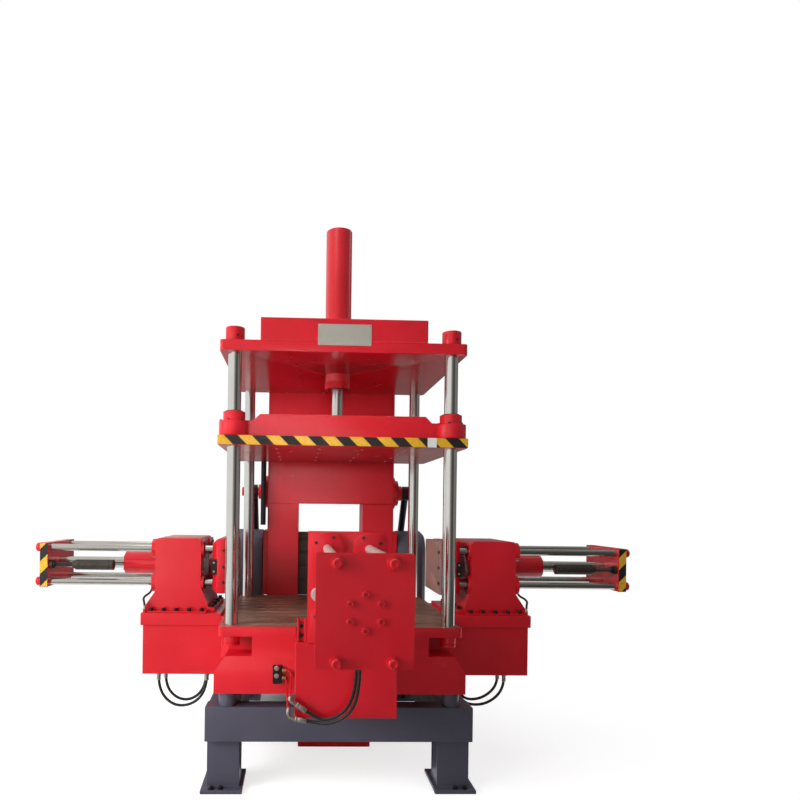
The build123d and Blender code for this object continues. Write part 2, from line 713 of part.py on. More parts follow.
    # Carrier on the inner rod ends
    with BuildPart() as carrier:
        block((s * carrier_inner_x, s * carrier_outer_x), (side_y - tail_half_y, side_y + tail_half_y),
              (side_z - carrier_half_z, side_z + carrier_half_z))
        bar_x((s * carrier_outer_x, s * (carrier_outer_x + carrier_hub_length)), side_y, side_z,
              carrier_hub_radius)
    carrier.part.label = f"{side}_carrier"
    export_step(carrier.part, f"parts/{side}_carrier.step")

    # Mould plate with threaded holes
    with BuildPart() as mould_plate:
        block((s * mould_inner_x, s * carrier_inner_x), (side_y - tail_half_y, side_y + tail_half_y),
              (side_z - mould_half_z, side_z + mould_half_z))
        for y in (-mould_hole_y, mould_hole_y):
            for z in mould_hole_rows:
                bar_x((s * mould_inner_x, s * (mould_inner_x + mould_hole_depth)), side_y + y, z,
                      mould_hole_radius, mode=Mode.SUBTRACT)
    mould_plate.part.label = f"{side}_mould_plate"
    export_step(mould_plate.part, f"parts/{side}_mould_plate.step")

# Front core puller
front_rods_xz = [(i * front_rod_x, front_z + j * front_rod_z) for i in (-1, 1) for j in (-1, 1)]
bracket_y = (bracket_front_y, bracket_front_y + bracket_thickness)
with BuildPart() as front_bracket_box:
    block((-box_x, box_x), (box_front_y, bed_front_y), (bed_bottom_z, box_top_z))
front_bracket_box.part.label = "front_bracket_box"
export_step(front_bracket_box.part, "parts/front_bracket_box.step")

with BuildPart() as front_bracket_plate:
    block((-bracket_x, bracket_x), bracket_y, (box_top_z, bracket_top_z))
    for x, z in front_rods_xz:
        bar_y(x, (bracket_front_y - front_bush_length, bracket_front_y), z, front_bush_radius)
    for x, z in front_rods_xz:
        bar_y(x, (bracket_front_y - front_bush_length, bracket_y[1]), z, front_rod_radius + running_gap,
              mode=Mode.SUBTRACT)
    bar_y(0, (bracket_front_y - front_bush_length, bracket_y[1]), front_z, front_barrel_radius + fixed_gap,
          mode=Mode.SUBTRACT)
front_bracket_plate.part.label = "front_bracket_plate"
export_step(front_bracket_plate.part, "parts/front_bracket_plate.step")

with BuildPart() as front_core_cylinder:
    bar_y(0, (front_barrel_end_y, bracket_y[1]), front_z, front_barrel_radius)
    bar_y(0, (front_barrel_end_y + core_gland, bracket_y[1] - core_gland), front_z, core_bore_radius,
          mode=Mode.SUBTRACT)
    bar_y(0, (front_barrel_end_y, front_barrel_end_y + core_gland), front_z, core_rod_radius + running_gap,
          mode=Mode.SUBTRACT)
    for x, y, z in (front_hose_upper[-1], front_hose_lower[-1]):
        bar_z(x, y, (z, front_z - math.sqrt(front_barrel_radius ** 2 - (abs(x) + fitting_radius) ** 2)),
              fitting_radius)
front_core_cylinder.part.label = "front_core_cylinder"
export_step(front_core_cylinder.part, "parts/front_core_cylinder.step")

with BuildPart() as front_plate:
    block((-front_plate_x, front_plate_x), (front_plate_front_y, front_plate_front_y + front_plate_thickness),
          (front_plate_bottom_z, front_plate_top_z))
    fillet(front_plate.edges().filter_by(Axis.Y), front_plate_corner_radius)
    for x, z in front_rods_xz:
        bar_y(x, (front_plate_front_y, front_plate_front_y + front_plate_thickness), z,
              front_rod_radius - front_rod_step + fixed_gap, mode=Mode.SUBTRACT)
front_plate.part.label = "front_plate"
export_step(front_plate.part, "parts/front_plate.step")

with BuildPart() as front_rods:
    for x, z in front_rods_xz:
        bar_y(x, (front_plate_front_y + front_plate_thickness, front_carrier_front_y), z, front_rod_radius)
        bar_y(x, (front_plate_front_y, front_plate_front_y + front_plate_thickness), z,
              front_rod_radius - front_rod_step)
        bar_y(x, (front_plate_front_y - front_nut_height, front_plate_front_y), z, front_nut_radius)
    bar_y(0, (front_plate_front_y + front_plate_thickness,
              front_barrel_end_y + core_gland + core_piston_length), front_z, core_rod_radius)
    bar_y(0, (front_barrel_end_y + core_gland, front_barrel_end_y + core_gland + core_piston_length),
          front_z, core_bore_radius - running_gap)
front_rods.part.label = "front_rods"
export_step(front_rods.part, "parts/front_rods.step")

with BuildPart() as front_carrier:
    block((-front_carrier_x, front_carrier_x),
          (front_carrier_front_y, front_carrier_front_y + front_carrier_thickness),
          (front_z - front_carrier_half_z, front_z + front_carrier_half_z))
front_carrier.part.label = "front_carrier"
export_step(front_carrier.part, "parts/front_carrier.step")

# Tilt cylinders, drawn along the line from the upper pin to the lower pin
cylinder_run = Vector(0, base_pin_y - pivot_y, base_pin_z - pivot_z)
cylinder_length = cylinder_run.length


def cylinder_plane(x, distance):
    """Plane across a tilt cylinder, at a distance from its upper pin."""
    start = Vector(x, press_y + pivot_y, pivot_z) + cylinder_run.normalized() * distance
    return Plane(origin=start, x_dir=(1, 0, 0), z_dir=cylinder_run.normalized())


def cylinder_stretch(x, start, end, radius, mode=Mode.ADD):
    """Round stretch of a tilt cylinder between two distances from its upper pin."""
    with BuildSketch(cylinder_plane(x, start)) as section:
        Circle(radius)
    extrude(section.sketch, amount=end - start, mode=mode)


with BuildPart() as tilt_cylinder_rods:
    for side, s in SIDES:
        eye_x = (s * (cylinder_x - eye_width / 2), s * (cylinder_x + eye_width / 2))
        cylinder_stretch(s * cylinder_x, 0, tilt_rod_length, tilt_rod_radius)
        cylinder_stretch(s * cylinder_x, tilt_rod_length - tilt_piston_length, tilt_rod_length,
                         tilt_piston_radius - running_gap)
        bar_x(eye_x, pivot_y, pivot_z, rod_eye_radius)
        bar_x((s * (cylinder_x - eye_width), s * (cylinder_x + eye_width)), pivot_y, pivot_z,
              pivot_pin_radius + running_gap, mode=Mode.SUBTRACT)
tilt_cylinder_rods.part.label = "tilt_cylinder_rods"
export_step(tilt_cylinder_rods.part, "parts/tilt_cylinder_rods.step")

barrel_start = cylinder_length - barrel_reach
with BuildPart() as tilt_cylinder_barrels:
    for side, s in SIDES:
        eye_x = (s * (cylinder_x - barrel_radius), s * (cylinder_x + barrel_radius))
        cylinder_stretch(s * cylinder_x, barrel_start, cylinder_length - base_eye_radius / 2, barrel_radius)
        bar_x(eye_x, base_pin_y, base_pin_z, base_eye_radius)
        cylinder_stretch(s * cylinder_x, barrel_start, barrel_start + barrel_gland,
                         tilt_rod_radius + running_gap, mode=Mode.SUBTRACT)
        cylinder_stretch(s * cylinder_x, barrel_start + barrel_gland, cylinder_length - barrel_bottom,
                         tilt_piston_radius, mode=Mode.SUBTRACT)
tilt_cylinder_barrels.part.label = "tilt_cylinder_barrels"
export_step(tilt_cylinder_barrels.part, "parts/tilt_cylinder_barrels.step")

# Block with the two oil ports on the front of the bed
with BuildPart() as port_block:
    block(port_x, (bed_front_y - port_depth, bed_front_y), port_z)
port_block.part.label = "port_block"
export_step(port_block.part, "parts/port_block.step")

# Rigid pipes from the oil ports, along the bracket box, each ending in a ferrule
with BuildPart() as hydraulic_pipes:
    for route in (upper_pipe, lower_pipe):
        placed = [(x, press_y + y, z) for x, y, z in route]
        with BuildLine():
            run = FilletPolyline(*placed, radius=pipe_bend)
        with BuildSketch(Plane(origin=run @ 0, z_dir=run % 0)):
            Circle(pipe_radius)
        sweep(path=run)
        with BuildSketch(Plane(origin=run @ 1, z_dir=-(run % 1))):
            Circle(ferrule_radius)
        extrude(amount=ferrule_length)
hydraulic_pipes.part.label = "hydraulic_pipes"
export_step(hydraulic_pipes.part, "parts/hydraulic_pipes.step")

# Hoses, each in a node of its own
hose_routes = {"front_hose_upper": (front_hose_upper, hose_radius, 1),
               "front_hose_lower": (front_hose_lower, hose_radius, 1)}
for side, s in SIDES:
    for place, route in arm_hoses[side].items():
        hose_routes[f"{side}_arm_hose_{place}"] = (route, hose_radius, s)
    hose_routes[f"{side}_short_hose"] = (short_hose, short_hose_radius, s)
for name, (route, radius, s) in hose_routes.items():
    placed = [(s * x, press_y + y, z) for x, y, z in route]
    radii = route_radii(placed)
    with BuildPart() as hose:
        with BuildLine():
            centre_line = FilletPolyline(*placed, radius=radii)
        with BuildSketch(Plane(origin=centre_line @ 0, z_dir=centre_line % 0)):
            Circle(radius)
        sweep(path=centre_line)
    hose.part.label = name
    export_step(hose.part, f"parts/{name}.step")
    filled = hose.part.volume / (math.pi * radius ** 2 * centre_line.length)
    print(name, "length", round(centre_line.length), "radii", [round(r) for r in radii],
          "volume over section times length", round(filled, 4))
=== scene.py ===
import math

import bmesh
import bpy
from mathutils import Matrix, Vector


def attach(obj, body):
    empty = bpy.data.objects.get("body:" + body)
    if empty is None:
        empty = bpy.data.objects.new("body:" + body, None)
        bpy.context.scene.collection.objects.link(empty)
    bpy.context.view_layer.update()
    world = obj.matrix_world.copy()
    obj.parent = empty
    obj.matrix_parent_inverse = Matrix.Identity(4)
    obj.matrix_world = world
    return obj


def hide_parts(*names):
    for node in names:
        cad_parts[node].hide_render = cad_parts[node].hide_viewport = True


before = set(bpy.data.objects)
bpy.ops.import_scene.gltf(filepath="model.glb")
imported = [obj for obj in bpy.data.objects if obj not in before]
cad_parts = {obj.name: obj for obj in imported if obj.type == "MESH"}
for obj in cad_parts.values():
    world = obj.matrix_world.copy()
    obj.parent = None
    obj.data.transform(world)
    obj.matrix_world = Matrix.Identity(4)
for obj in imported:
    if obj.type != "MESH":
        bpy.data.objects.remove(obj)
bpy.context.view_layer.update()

# Lengths are written in millimetres, with y measured from the press centre line.
MM = 0.001
PRESS_Y = -400.0
SIDES = (("left", -1), ("right", 1))
COLUMNS = [(x, y) for x in (-650, 650) for y in (-600, 600)]
UP, DOWN, FORWARD = (0, 0, 1), (0, 0, -1), (0, -1, 0)
SAME_POINT = 1e-6  # metres: closer points are one point

# Edges bent more than this break the smooth shading, and edges bent more than the next one are eased.
SMOOTH_ANGLE = math.radians(34)
SHARP_ANGLE = math.radians(38)
# A face larger than this, in square metres, whose edges all bend more than the angle, is shaded flat.
FLAT_AREA = 0.0005
FACET_ANGLE = math.radians(14)


def at(x, y, z):
    """Point of the machine in metres, from millimetres about the press centre line."""
    return Vector((x, PRESS_Y + y, z)) * MM


# Camera at the photograph's viewing angle, fitted to its perspective
camera_data = bpy.data.cameras.new("camera")
camera_data.sensor_width = 36.0
camera_data.lens = 28.23
camera_data.shift_x = 0.1031
camera_data.shift_y = 0.1353
camera_data.clip_end = 200.0
camera = bpy.data.objects.new("camera", camera_data)
bpy.context.scene.collection.objects.link(camera)
camera.matrix_world = (Matrix.Translation((-0.2616, -4.7543, 1.6893))
                       @ Matrix.Rotation(math.radians(-1.76), 4, "Z")
                       @ Matrix.Rotation(math.radians(90), 4, "X")
                       @ Matrix.Rotation(math.radians(0.75), 4, "Z"))
bpy.context.scene.camera = camera


# Materials

def new_material(name):
    material = bpy.data.materials.new(name)
    material.use_nodes = True
    return material, material.node_tree


def object_place(tree, scale=(1, 1, 1), location=(0, 0, 0)):
    """Object coordinates, stretched by scale and then moved."""
    place = tree.nodes.new("ShaderNodeTexCoord")
    mapping = tree.nodes.new("ShaderNodeMapping")
    mapping.inputs["Scale"].default_value = scale
    mapping.inputs["Location"].default_value = location
    tree.links.new(place.outputs["Object"], mapping.inputs["Vector"])
    return mapping.outputs["Vector"]


def noise(tree, vector, scale, detail=4.0, roughness=0.55):
    made = tree.nodes.new("ShaderNodeTexNoise")
    made.inputs["Scale"].default_value = scale
    made.inputs["Detail"].default_value = detail
    made.inputs["Roughness"].default_value = roughness
    tree.links.new(vector, made.inputs["Vector"])
    return made.outputs["Fac"]


def ramp(tree, value, *stops):
    made = tree.nodes.new("ShaderNodeValToRGB")
    elements = made.color_ramp.elements
    while len(elements) < len(stops):
        elements.new(0.5)
    for element, (position, colour) in zip(elements, stops):
        element.position = position
        element.color = (*colour, 1.0) if len(colour) == 3 else colour
    tree.links.new(value, made.inputs["Fac"])
    return made.outputs["Color"]


def grey(value):
    return (value, value, value)


def computed(tree, operation, *values):
    """Result of a math node on sockets and plain numbers."""
    made = tree.nodes.new("ShaderNodeMath")
    made.operation = operation
    for socket, value in zip(made.inputs, values):
        if isinstance(value, bpy.types.NodeSocket):
            tree.links.new(value, socket)
        else:
            socket.default_value = value
    return made.outputs["Value"]


def mixed(tree, share, first, second):
    """Colour between two others, of which the second may be a plain one."""
    made = tree.nodes.new("ShaderNodeMix")
    made.data_type = "RGBA"
    first_colour, second_colour = made.inputs[6], made.inputs[7]
    tree.links.new(share, made.inputs["Factor"])
    tree.links.new(first, first_colour)
    if isinstance(second, bpy.types.NodeSocket):
        tree.links.new(second, second_colour)
    else:
        second_colour.default_value = (*second, 1.0)
    return made.outputs[2]


def axes(tree):
    """The X, Y and Z of the object coordinates."""
    split = tree.nodes.new("ShaderNodeSeparateXYZ")
    tree.links.new(object_place(tree), split.inputs["Vector"])
    return split.outputs


def length_of(tree, vector):
    made = tree.nodes.new("ShaderNodeVectorMath")
    made.operation = "LENGTH"
    tree.links.new(vector, made.inputs[0])
    return made.outputs["Value"]


def ranged(tree, value, low, high, interpolation="LINEAR"):
    """Value that runs from 0 to 1 between a low and a high one."""
    made = tree.nodes.new("ShaderNodeMapRange")
    made.interpolation_type = interpolation
    made.inputs["From Min"].default_value = low
    made.inputs["From Max"].default_value = high
    tree.links.new(value, made.inputs["Value"])
    return made.outputs["Result"]


def direct_ray(tree):
    """1 for what the camera sees straight, in a reflection or through glass, and 0 for other light."""
    path = tree.nodes.new("ShaderNodeLightPath")
    seen = computed(tree, "MAXIMUM", path.outputs["Is Camera Ray"], path.outputs["Is Glossy Ray"])
    return computed(tree, "MAXIMUM", seen, path.outputs["Is Transmission Ray"])


def bump(tree, shader, height, strength, distance):
    made = tree.nodes.new("ShaderNodeBump")
    made.inputs["Strength"].default_value = strength
    made.inputs["Distance"].default_value = distance
    tree.links.new(height, made.inputs["Height"])
    tree.links.new(made.outputs["Normal"], shader.inputs["Normal"])


def painted(name, dark, main, roughness=0.3, coat=0.35, dust=(0.5, 0.45, 0.42), dust_share=0.04):
    """Sprayed enamel: slow colour drift, faint orange peel and a little foundry dust."""
    material, tree = new_material(name)
    shader = tree.nodes["Principled BSDF"]
    place = object_place(tree)
    drift = ramp(tree, noise(tree, place, 2.3, 5.0), (0.3, dark), (0.7, main))
    speck = ramp(tree, noise(tree, place, 38.0, 6.0, 0.7), (0.62, grey(0.0)), (0.8, grey(dust_share)))
    tree.links.new(mixed(tree, speck, drift, dust), shader.inputs["Base Color"])
    rough = ramp(tree, noise(tree, place, 7.0, 4.0), (0.35, grey(roughness * 0.8)), (0.7, grey(roughness * 1.25)))
    tree.links.new(rough, shader.inputs["Roughness"])
    shader.inputs["Specular IOR Level"].default_value = 0.38
    shader.inputs["Coat Weight"].default_value = coat
    shader.inputs["Coat Roughness"].default_value = 0.05
    bump(tree, shader, noise(tree, place, 240.0, 2.0), 0.03, 0.0006)
    return material


def metal(name, dark, light, roughness, stretch=(1, 1, 1), scale=60.0, metallic=1.0, relief=0.15):
    """Machined or ground metal: tool marks that run one way and a drift of tone."""
    material, tree = new_material(name)
    shader = tree.nodes["Principled BSDF"]
    marks = noise(tree, object_place(tree, stretch), scale, 5.0, 0.65)
    clouds = noise(tree, object_place(tree), 4.0, 4.0)
    both = computed(tree, "MULTIPLY_ADD", marks, 0.6, computed(tree, "MULTIPLY", clouds, 0.4))
    tree.links.new(ramp(tree, both, (0.35, dark), (0.62, light)), shader.inputs["Base Color"])
    tree.links.new(ramp(tree, marks, (0.3, grey(roughness * 0.75)), (0.7, grey(roughness * 1.3))),
                   shader.inputs["Roughness"])
    shader.inputs["Metallic"].default_value = metallic
    bump(tree, shader, marks, relief, 0.0004)
    return material


def hazard_tape(name, slope, period, shift):
    """Yellow and black slanted stripes in the X and Z plane; slope 1 falls to the right, -1 rises."""
    material, tree = new_material(name)
    shader = tree.nodes["Principled BSDF"]
    place = axes(tree)
    across = computed(tree, "MULTIPLY_ADD", place["Z"], slope, place["X"])
    part = computed(tree, "FRACT", computed(tree, "MULTIPLY_ADD", across, 1.0 / period, shift))
    worn = noise(tree, object_place(tree), 55.0, 5.0, 0.7)
    yellow = ramp(tree, worn, (0.3, (0.5, 0.28, 0.006)), (0.62, (0.7, 0.38, 0.008)))
    black = ramp(tree, worn, (0.35, (0.007, 0.006, 0.006)), (0.75, (0.02, 0.018, 0.016)))
    step = ramp(tree, part, (0.0, grey(0.0)), (0.49, grey(0.0)), (0.5, grey(1.0)), (0.99, grey(1.0)),
                (1.0, grey(0.0)))
    tree.links.new(mixed(tree, step, yellow, black), shader.inputs["Base Color"])
    shader.inputs["Roughness"].default_value = 0.38
    bump(tree, shader, noise(tree, object_place(tree), 90.0, 3.0), 0.08, 0.0005)
    return material


def piped(name):
    """Pipe enamel that ends at the fittings in front of the bracket box, which are plated."""
    material, tree = new_material(name)
    shader = tree.nodes["Principled BSDF"]
    plated = computed(tree, "LESS_THAN", axes(tree)["Y"], (PRESS_Y - 1100) * MM)
    drift = noise(tree, object_place(tree), 60.0, 5.0)
    enamel = ramp(tree, drift, (0.3, (0.5, 0.008, 0.014)), (0.7, (0.6, 0.012, 0.018)))
    zinc = ramp(tree, drift, (0.3, (0.42, 0.39, 0.33)), (0.7, (0.62, 0.59, 0.52)))
    tree.links.new(mixed(tree, plated, enamel, zinc), shader.inputs["Base Color"])
    tree.links.new(plated, shader.inputs["Metallic"])
    shader.inputs["Roughness"].default_value = 0.27
    bump(tree, shader, drift, 0.05, 0.0004)
    return material


def rubber(name):
    """Hose cover: near black with fine cloth marks and a soft shine."""
    material, tree = new_material(name)
    shader = tree.nodes["Principled BSDF"]
    fine = noise(tree, object_place(tree), 320.0, 3.0)
    tree.links.new(ramp(tree, fine, (0.3, (0.009, 0.009, 0.009)), (0.7, (0.022, 0.021, 0.02))),
                   shader.inputs["Base Color"])
    tree.links.new(ramp(tree, fine, (0.3, grey(0.22)), (0.7, grey(0.36))), shader.inputs["Roughness"])
    bump(tree, shader, fine, 0.15, 0.0004)
    return material


RED = painted("red_enamel", (0.53, 0.007, 0.015), (0.62, 0.01, 0.022), roughness=0.22, coat=0.1, dust_share=0.005)
BASE_PAINT = painted("grey_blue_enamel", (0.061, 0.06, 0.085), (0.082, 0.08, 0.112), roughness=0.36, coat=0.1,
                     dust=(0.3, 0.28, 0.27), dust_share=0.06)
GREY_LUG = painted("light_grey_enamel", (0.078, 0.08, 0.102), (0.1, 0.102, 0.13), roughness=0.4, coat=0.1)
CHROMED = metal("chromed_steel", (0.56, 0.55, 0.53), (0.68, 0.67, 0.65), 0.13, (1, 1, 40), 30.0, relief=0.006)
BRIGHT = metal("ground_steel", (0.43, 0.42, 0.4), (0.54, 0.53, 0.5), 0.17, (40, 1, 1), 30.0, relief=0.004)
PLATED = metal("plated_steel", (0.5, 0.47, 0.4), (0.68, 0.65, 0.58), 0.28, scale=120.0)
SATIN = metal("satin_steel", (0.5, 0.45, 0.42), (0.68, 0.62, 0.59), 0.3, (1, 40, 1), 30.0, metallic=0.45,
              relief=0.004)
BRASS = metal("brass", (0.5, 0.36, 0.17), (0.64, 0.5, 0.27), 0.3, scale=140.0)
TABLE_STEEL = metal("table_steel", (0.19, 0.115, 0.08), (0.48, 0.285, 0.2), 0.38, (1, 30, 1), 14.0,
                    metallic=0.4, relief=0.1)
PORTAL_STEEL = metal("rear_plate_steel", (0.035, 0.026, 0.02), (0.075, 0.058, 0.045), 0.42, (30, 1, 1), 14.0,
                     metallic=0.4, relief=0.1)
COPPERY = metal("oiled_mould_steel", (0.37, 0.245, 0.2), (0.56, 0.4, 0.34), 0.42, (1, 1, 18), 20.0,
                metallic=0.45, relief=0.1)
BLACK_STEEL = metal("blackened_steel", (0.008, 0.008, 0.009), (0.026, 0.025, 0.025), 0.42, scale=90.0,
                    metallic=0.5)
STOP_STEEL = metal("browned_steel", (0.045, 0.037, 0.032), (0.07, 0.058, 0.05), 0.36, scale=60.0, metallic=0.6,
                   relief=0.02)
BOLT_BLACK = metal("blackened_bolts", (0.012, 0.011, 0.011), (0.045, 0.042, 0.04), 0.3, scale=150.0, metallic=0.7)
SIGN = metal("bare_sign_plate", (0.34, 0.32, 0.27), (0.42, 0.4, 0.35), 0.45, (30, 1, 1), 40.0, metallic=0.25,
             relief=0.05)
TAPE_DOWN = hazard_tape("hazard_tape_platen", 1.0, 0.163, 0.85)
TAPE_UP = hazard_tape("hazard_tape_tail", -1.0, 0.163, 0.94)
PIPE = piped("pipe_enamel")
WHITE_TAPE = painted("white_tape", (0.62, 0.62, 0.6), (0.7, 0.7, 0.68), roughness=0.35, coat=0.1)
HOSE = rubber("hose_rubber")


# Shapes

def stands_alone(face):
    """Whether a face is a large flat one, not a facet of something round."""
    return face.calc_area() > FLAT_AREA and all(e.calc_face_angle(math.pi) > FACET_ANGLE for e in face.edges)


def piece(name, bm, body, material, replaced=()):
    """Makes a bmesh into a piece of the machine that rides on a body, shaded smooth between sharp edges."""
    bmesh.ops.remove_doubles(bm, verts=bm.verts, dist=SAME_POINT)
    bmesh.ops.recalc_face_normals(bm, faces=bm.faces)
    bm.faces.index_update()
    flat = [face.index for face in bm.faces if stands_alone(face)]
    mesh = bpy.data.meshes.new(name)
    bm.to_mesh(mesh)
    bm.free()
    mesh.shade_smooth()
    mesh.set_sharp_from_angle(angle=SMOOTH_ANGLE)
    for index in flat:
        mesh.polygons[index].use_smooth = False
    made = bpy.data.objects.new(name, mesh)
    bpy.context.scene.collection.objects.link(made)
    made.data.materials.append(material)
    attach(made, body)
    if replaced:
        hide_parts(*replaced)


def turned(bm, profile, base, direction, steps=32):
    """Lathe work: spins (radius, distance) points, in millimetres, about a line from base."""
    axis = Vector(direction).normalized()
    side = axis.orthogonal().normalized()
    verts = [bm.verts.new(base + side * (radius * MM) + axis * (distance * MM)) for radius, distance in profile]
    edges = [bm.edges.new(pair) for pair in zip(verts, verts[1:])]
    bmesh.ops.spin(bm, geom=verts + edges, cent=base, axis=axis, angle=math.tau, steps=steps, use_merge=True)


def disc(radius, thickness, chamfer=1.0):
    """Profile of a plain disc with a small chamfer on its outer rim."""
    return [(0, 0), (radius, 0), (radius, thickness - chamfer), (radius - chamfer, thickness), (0, thickness)]


def cuboid(bm, x, y, z):
    """Block between two values along each axis, in millimetres."""
    low, high = at(x[0], y[0], z[0]), at(x[1], y[1], z[1])
    size = high - low
    matrix = Matrix.Translation((low + high) / 2) @ Matrix.Diagonal((*size, 1.0))
    bmesh.ops.create_cube(bm, size=1.0, matrix=matrix)


def eased(bm, width, segments=2):
    """Bevels every sharp edge that is long enough."""
    edges = [e for e in bm.edges if len(e.link_faces) == 2 and e.calc_face_angle(0) > SHARP_ANGLE
             and e.calc_length() > 1.6 * width * MM]
    if edges:
        bmesh.ops.bevel(bm, geom=edges, offset=width * MM, offset_type="OFFSET", segments=segments, profile=0.5,
                        affect="EDGES", clamp_overlap=True, material=-1)


def plate(bm, x, y, z, width=3.0, segments=2):
    """Block with eased edges."""
    part = bmesh.new()
    cuboid(part, (min(x), max(x)), (min(y), max(y)), (min(z), max(z)))
    eased(part, width, segments)
    join(bm, part)


def join(bm, part):
    """Adds one bmesh to another."""
    mesh = bpy.data.meshes.new("joined")
    part.to_mesh(mesh)
    part.free()
    bm.from_mesh(mesh)
    bpy.data.meshes.remove(mesh)


def around(centre, axis, radius, count, start=0.0):
    """Evenly spaced places on a circle about a centre, across an axis; millimetres and degrees."""
    first, second = {"x": ((0, 1, 0), (0, 0, 1)), "y": ((1, 0, 0), (0, 0, 1)), "z": ((1, 0, 0), (0, 1, 0))}[axis]
    places = []
    for i in range(count):
        turn = math.radians(start + 360 * i / count)
        places.append(centre + (Vector(first) * math.cos(turn) + Vector(second) * math.sin(turn)) * (radius * MM))
    return places


def rod(bm, base, direction, length, radius, chamfer=2.0, steps=40):
    """Ground bar with chamfered ends."""
    turned(bm, [(0, 0), (radius - chamfer, 0), (radius, chamfer), (radius, length - chamfer),
                (radius - chamfer, length), (0, length)], base, direction, steps)


def hex_part(bm, base, direction, across, height, chamfer=1.5):
    """Hexagon nut or bolt head with eased corners."""
    axis = Vector(direction).normalized()
    matrix = (Matrix.Translation(base + axis * (height * MM / 2)) @ axis.to_track_quat("Z", "X").to_matrix().to_4x4())
    part = bmesh.new()
    bmesh.ops.create_cone(part, cap_ends=True, segments=6, radius1=across * MM / math.sqrt(3),
                          radius2=across * MM / math.sqrt(3), depth=height * MM, matrix=matrix)
    eased(part, chamfer, 1)
    join(bm, part)


def cap_screws(bm, places, direction, radius=9.0, height=10.0, steps=14):
    """Socket head screws: round head with a chamfer and a recess."""
    chamfer = 1.2
    profile = [(radius, 0), (radius, height - chamfer), (radius - chamfer, height), (radius * 0.55, height),
               (radius * 0.5, height * 0.45), (0, height * 0.45)]
    for place in places:
        turned(bm, profile, place, direction, steps)


def hex_screws(bm, places, direction, across=18.0, height=8.0, washer=13.0):
    """Hexagon head screws on washers; washer is the washer's radius."""
    thickness = 2.2
    for place in places:
        turned(bm, disc(washer, thickness, 0.6), place, direction, 20)
        hex_part(bm, place + Vector(direction) * thickness * MM, direction, across, height, 1.2)


def screws(name, body, shape, places, direction, material=BOLT_BLACK, **sizes):
    """Many like screws as one piece."""
    bm = bmesh.new()
    shape(bm, places, direction, **sizes)
    piece(name, bm, body, material)


def finished(source, width, material, body, corner=None, cut=0.0):
    """Copy of a plain solid with merged faces and eased edges, which stands for it.

    Edges whose ends are both corners get a wide chamfer first."""
    bm = bmesh.new()
    bm.from_mesh(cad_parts[source].data)
    bmesh.ops.remove_doubles(bm, verts=bm.verts, dist=SAME_POINT)
    bmesh.ops.dissolve_limit(bm, angle_limit=math.radians(1.0), use_dissolve_boundaries=False, verts=bm.verts,
                             edges=bm.edges, delimit=set())
    if corner:
        edges = [e for e in bm.edges if all(corner(v.co) for v in e.verts)]
        bmesh.ops.bevel(bm, geom=edges, offset=cut * MM, offset_type="OFFSET", segments=1, profile=0.5,
                        affect="EDGES", clamp_overlap=True, material=-1)
    eased(bm, width)
    piece(source + "_finished", bm, body, material, (source,))


# Hoses, with the length of each arm hose in metres before its route

FRONT_HOSE_UPPER = ((-208, -1125, 645), (-167, -1125, 617.5), (-122, -1129, 600), (-62, -1136, 613),
                    (-8, -1147, 652), (24, -1166, 716), (39, -1192, 798), (41, -1220, 885), (40, -1246, 985),
                    (40, -1262, 1085), (40, -1262, 1190))
FRONT_HOSE_LOWER = ((-206, -1125, 594), (-160, -1125, 586), (-108, -1140, 583), (-44, -1160, 604),
                    (8, -1182, 647), (38, -1210, 713), (50, -1245, 798), (52, -1283, 888), (48, -1332, 982),
                    (43, -1366, 1084), (43, -1366, 1190))
ARM_HOSES = {"left": {"outer": (0.581, ((1162, -210, 590), (1162, -210, 526), (1126, -215, 440), (1055, -218, 388),
                                        (973, -216, 385), (896, -214, 425), (848, -210, 512), (848, -210, 590))),
                      "inner": (0.504, ((1126, -160, 590), (1126, -160, 532), (1095, -163, 457), (1032, -165, 412),
                                        (962, -164, 408), (898, -162, 448), (860, -160, 525), (860, -160, 590)))},
             "right": {"outer": (0.569, ((1124, -210, 590), (1124, -210, 530), (1084, -215, 458), (1010, -218, 408),
                                         (925, -217, 394), (855, -214, 412), (816, -210, 478), (816, -210, 590))),
                       "inner": (0.502, ((1096, -160, 590), (1096, -160, 536), (1060, -163, 474), (992, -165, 428),
                                         (915, -165, 414), (862, -162, 430), (830, -160, 486), (830, -160, 590)))}}
SHORT_HOSE = ((1226, -136, 1168), (1228, -136, 1118), (1262, -250, 1098), (1243, -284, 1064), (1241, -284, 1028))


def tube(name, points, radius, steps, material):
    """Round tube along a smooth curve over a few points; the points are in metres."""
    curve = bpy.data.curves.new(name, "CURVE")
    curve.dimensions = "3D"
    spline = curve.splines.new("NURBS")
    spline.points.add(len(points) - 1)
    for control, point in zip(spline.points, points):
        control.co = (*point, 1.0)
    spline.order_u = 3
    spline.use_endpoint_u = True
    spline.resolution_u = steps
    curve.bevel_depth = radius * MM
    curve.bevel_resolution = 5
    curve.use_fill_caps = True
    curve.materials.append(material)
    made = bpy.data.objects.new(name, curve)
    bpy.context.scene.collection.objects.link(made)
    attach(made, "bed")
    return made


def hose(name, route, side, diameter):
    """Hose of the machine, mirrored where side is -1; its diameter is in metres."""
    points = [at(side * x, y, z) for x, y, z in route]
    made = tube(name + "_rubber", points, diameter / 2 / MM, 12, HOSE)
    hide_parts(name)


hose("front_hose_upper", FRONT_HOSE_UPPER, 1, 0.018)
hose("front_hose_lower", FRONT_HOSE_LOWER, 1, 0.018)
for side, s in SIDES:
    for place, (length, route) in ARM_HOSES[side].items():
        hose(side + "_arm_hose_" + place, route, s, 0.018)
    hose(side + "_short_hose", SHORT_HOSE, s, 0.014)


# Welded and machined pieces with eased edges

